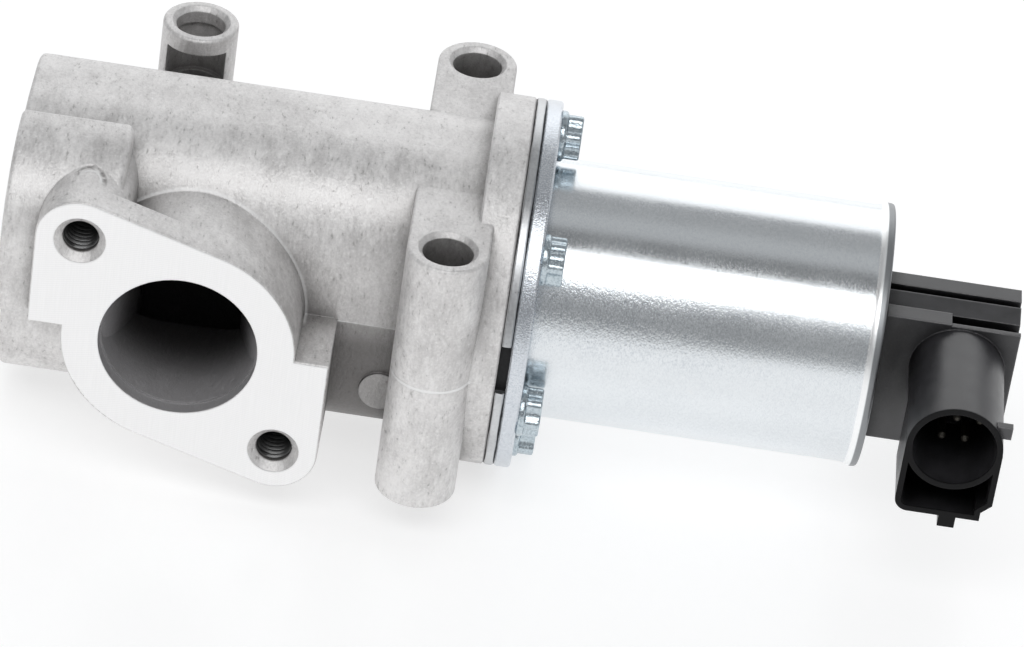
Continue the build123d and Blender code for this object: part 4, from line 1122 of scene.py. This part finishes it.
@dataclass
class CanShell:
    """The drawn can with its flared, crimped lip. Sizes are in millimetres, and x counts from the joint face."""

    palette: Palette
    start: float = 5.2
    end: float = 70.9
    outer_r: float = 25.0
    wall: float = 2.0
    lip_r: float = 25.6
    lip_t: float = 2.0
    flare: float = 0.9
    mouth_r: float = 21.4

    def build(self) -> None:
        """Turns the can as one closed wall."""
        inner = self.outer_r - self.wall
        lip = self.end - self.lip_t
        profile = softened(
            [
                (self.start, inner, 0.0),
                (self.start, self.outer_r - 0.05, 0.25),
                (self.start + 1.4, self.outer_r, 0.4),
                (lip - self.flare, self.outer_r, 0.9),
                (lip + self.flare * 0.4, self.lip_r, 0.5),
                (self.end, self.lip_r - 0.1, 0.6),
                (self.end, self.mouth_r, 0.4),
                (self.end - 1.0, self.mouth_r, 0.1),
                (self.end - 1.0, inner, 0.0),
            ],
            7,
        )
        grid = moved(spun(profile, 256), JOINT_X, AXIS_Y, 0.0)
        made = Piece("can_shell", "can_steel").from_grids([grid], self.palette["can_steel"], (True, True), 50.0)
        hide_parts("solenoid_can")


@dataclass
class ReturnSpring:
    """The spring that closes the valve, in millimetres."""

    palette: Palette
    mean_r: float = 10.2
    wire_r: float = 1.0
    turns: float = 5.0
    travel: float = 6.0

    def build(self) -> None:
        """Winds the spring between its two seats."""
        low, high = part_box("return_spring")
        length = high.x - low.x
        wire_r = self.wire_r * MM
        coil = moved(wound_wire(low.x + wire_r, length - 2 * wire_r, self.mean_r * MM, wire_r, self.turns), y=AXIS_Y)
        piece = Piece("valve_spring", "spring_steel")
        made = piece.from_grids([coil], self.palette["spring_steel"], (False, True), 50.0)
        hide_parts("return_spring")
        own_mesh(made)


# ---------------------------------------------------------------- studio


@dataclass
class Studio:
    """Floor, lights and camera.

    The floor's height and the camera's place are in millimetres. Each lamp is a name, degrees from straight up
    towards the front, the point that it faces, its length and width in metres, and its radiance. Each sky band is
    such an angle and its brightness, and end_shades are the shares lost towards -X and +X.
    """

    floor_z: float = -35.6
    floor_half: float = 3.0
    floor_lines: int = 9
    camera_place: Triple = (53.525, -868.293, 611.801)
    camera_right: Triple = (0.989034, 0.077584, 0.125664)
    camera_up: Triple = (-0.147511, 0.560184, 0.815129)
    camera_back: Triple = (-0.007154, -0.824727, 0.565485)
    lens: float = 200.054
    sensor: float = 36.0
    lamp_away: float = 1.1
    sky_tint: Triple = (0.97, 0.985, 1.0)
    lamps: ClassVar[tuple[tuple[str, float, Triple, Pair, float], ...]] = (
        ("front_top", 34.5, (-0.06, 0.0, 0.0), (1.3, 0.44), 2.9),
        ("back_wall", -66.0, (0.04, 0.0, 0.0), (1.2, 0.88), 0.68),
    )
    sky_bands: ClassVar[tuple[Pair, ...]] = (
        (-180.0, 0.50),
        (-100.0, 0.72),
        (-50.0, 0.72),
        (-42.0, 0.36),
        (-22.0, 0.40),
        (-14.0, 0.50),
        (-2.0, 0.50),
        (5.0, 0.20),
        (19.0, 0.17),
        (26.0, 0.34),
        (44.0, 0.75),
        (52.0, 0.68),
        (60.0, 0.35),
        (80.0, 0.33),
        (90.0, 0.52),
        (180.0, 0.52),
    )
    end_shades: ClassVar[Pair] = (0.55, 0.05)

    def build(self) -> None:
        """Sets everything up."""
        bpy.context.scene.view_settings.view_transform = "Standard"
        self.floor()
        self.sky()
        for name, angle, centre, size, power in self.lamps:
            self.lamp(name, angle, centre, size, power)
        self.camera()

    def floor(self) -> None:
        """A wide flat sheet just under the valve."""
        s = np.linspace(-self.floor_half, self.floor_half, self.floor_lines)
        x, y = np.meshgrid(s, s, indexing="ij")
        points = np.stack([x, y, np.full_like(x, self.floor_z * MM)], axis=-1).reshape(-1, 3)
        index = np.arange(self.floor_lines**2).reshape(self.floor_lines, -1)
        quads = np.stack([index[:-1, :-1], index[1:, :-1], index[1:, 1:], index[:-1, 1:]], axis=-1).reshape(-1, 4)
        mesh = bpy.data.meshes.new("studio_floor")
        mesh.from_pydata(points.tolist(), [], quads.tolist())
        mesh.materials.append(StudioFloor().material())
        sheet = bpy.data.objects.new("studio_floor", mesh)
        bpy.context.scene.collection.objects.link(sheet)

    def sky(self) -> None:
        """A surround in soft bands over the angle from +Z towards the front, darker towards both ends of the X axis."""
        world = bpy.data.worlds.new("surround")
        bpy.context.scene.world = world
        board = Board(world, "Generated")
        x, y, z = board.parts(board.place)
        turn = (y * -1.0).math("ARCTAN2", z) / (2 * math.pi) + 0.5
        stops = [(angle / 360.0 + 0.5, tuple(v * c for c in self.sky_tint)) for angle, v in self.sky_bands]
        colour = board.node("ShaderNodeValToRGB", {"stops": stops}, {0: turn})
        far, near = self.end_shades
        strength = x.ramp(-0.4, -0.9, 1.0, 1.0 - far) * x.ramp(0.25, 0.75, 1.0, 1.0 - near)
        glow = board.node("ShaderNodeBackground", {}, {"Color": colour, "Strength": strength})
        board.add("ShaderNodeOutputWorld", {}, {"Surface": glow})

    def lamp(self, name: str, angle: float, centre: Triple, size: Pair, power: float) -> None:
        """A long soft box over the valve's axis.

        Args:
            name: the lamp's name.
            angle: degrees from straight up towards the front.
            centre: the point that it faces, in metres.
            size: its length and width.
            power: its radiance, in watts for each square metre and direction.
        """
        t = math.radians(angle)
        away = Vector((0.0, -math.sin(t), math.cos(t)))
        data = bpy.data.lights.new(name, "AREA")
        data.shape = "RECTANGLE"
        data.size, data.size_y = size
        data.energy = power * size[0] * size[1] * math.pi
        box = bpy.data.objects.new(name, data)
        bpy.context.scene.collection.objects.link(box)
        place = Vector((centre[0], AXIS_Y, 0.0)) + away * self.lamp_away
        side = Vector((1.0, 0.0, 0.0))
        box.matrix_world = Matrix.Translation(place) @ Matrix((side, away.cross(side), away)).transposed().to_4x4()

    def camera(self) -> None:
        """The camera at the photograph's angle."""
        data = bpy.data.cameras.new("photo_camera")
        data.lens = self.lens
        data.sensor_width = self.sensor
        data.sensor_fit = "HORIZONTAL"
        data.clip_start, data.clip_end = 0.05, 20.0
        eye = bpy.data.objects.new("photo_camera", data)
        bpy.context.scene.collection.objects.link(eye)
        turn = Matrix((self.camera_right, self.camera_up, self.camera_back)).transposed().to_4x4()
        eye.matrix_world = Matrix.Translation(Vector(self.camera_place) * MM) @ turn
        bpy.context.scene.camera = eye


def main() -> None:
    """Builds and dresses every piece, then the studio."""
    logging.basicConfig(level=logging.INFO, format="%(message)s")
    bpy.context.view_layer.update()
    palette = Palette()
    palette.dress_nodes()
    OutletThreads(palette).build()
    JointScrews(palette).build()
    CanShell(palette).build()
    ReturnSpring(palette).build()
    Studio().build()


if __name__ == "__main__":
    main()
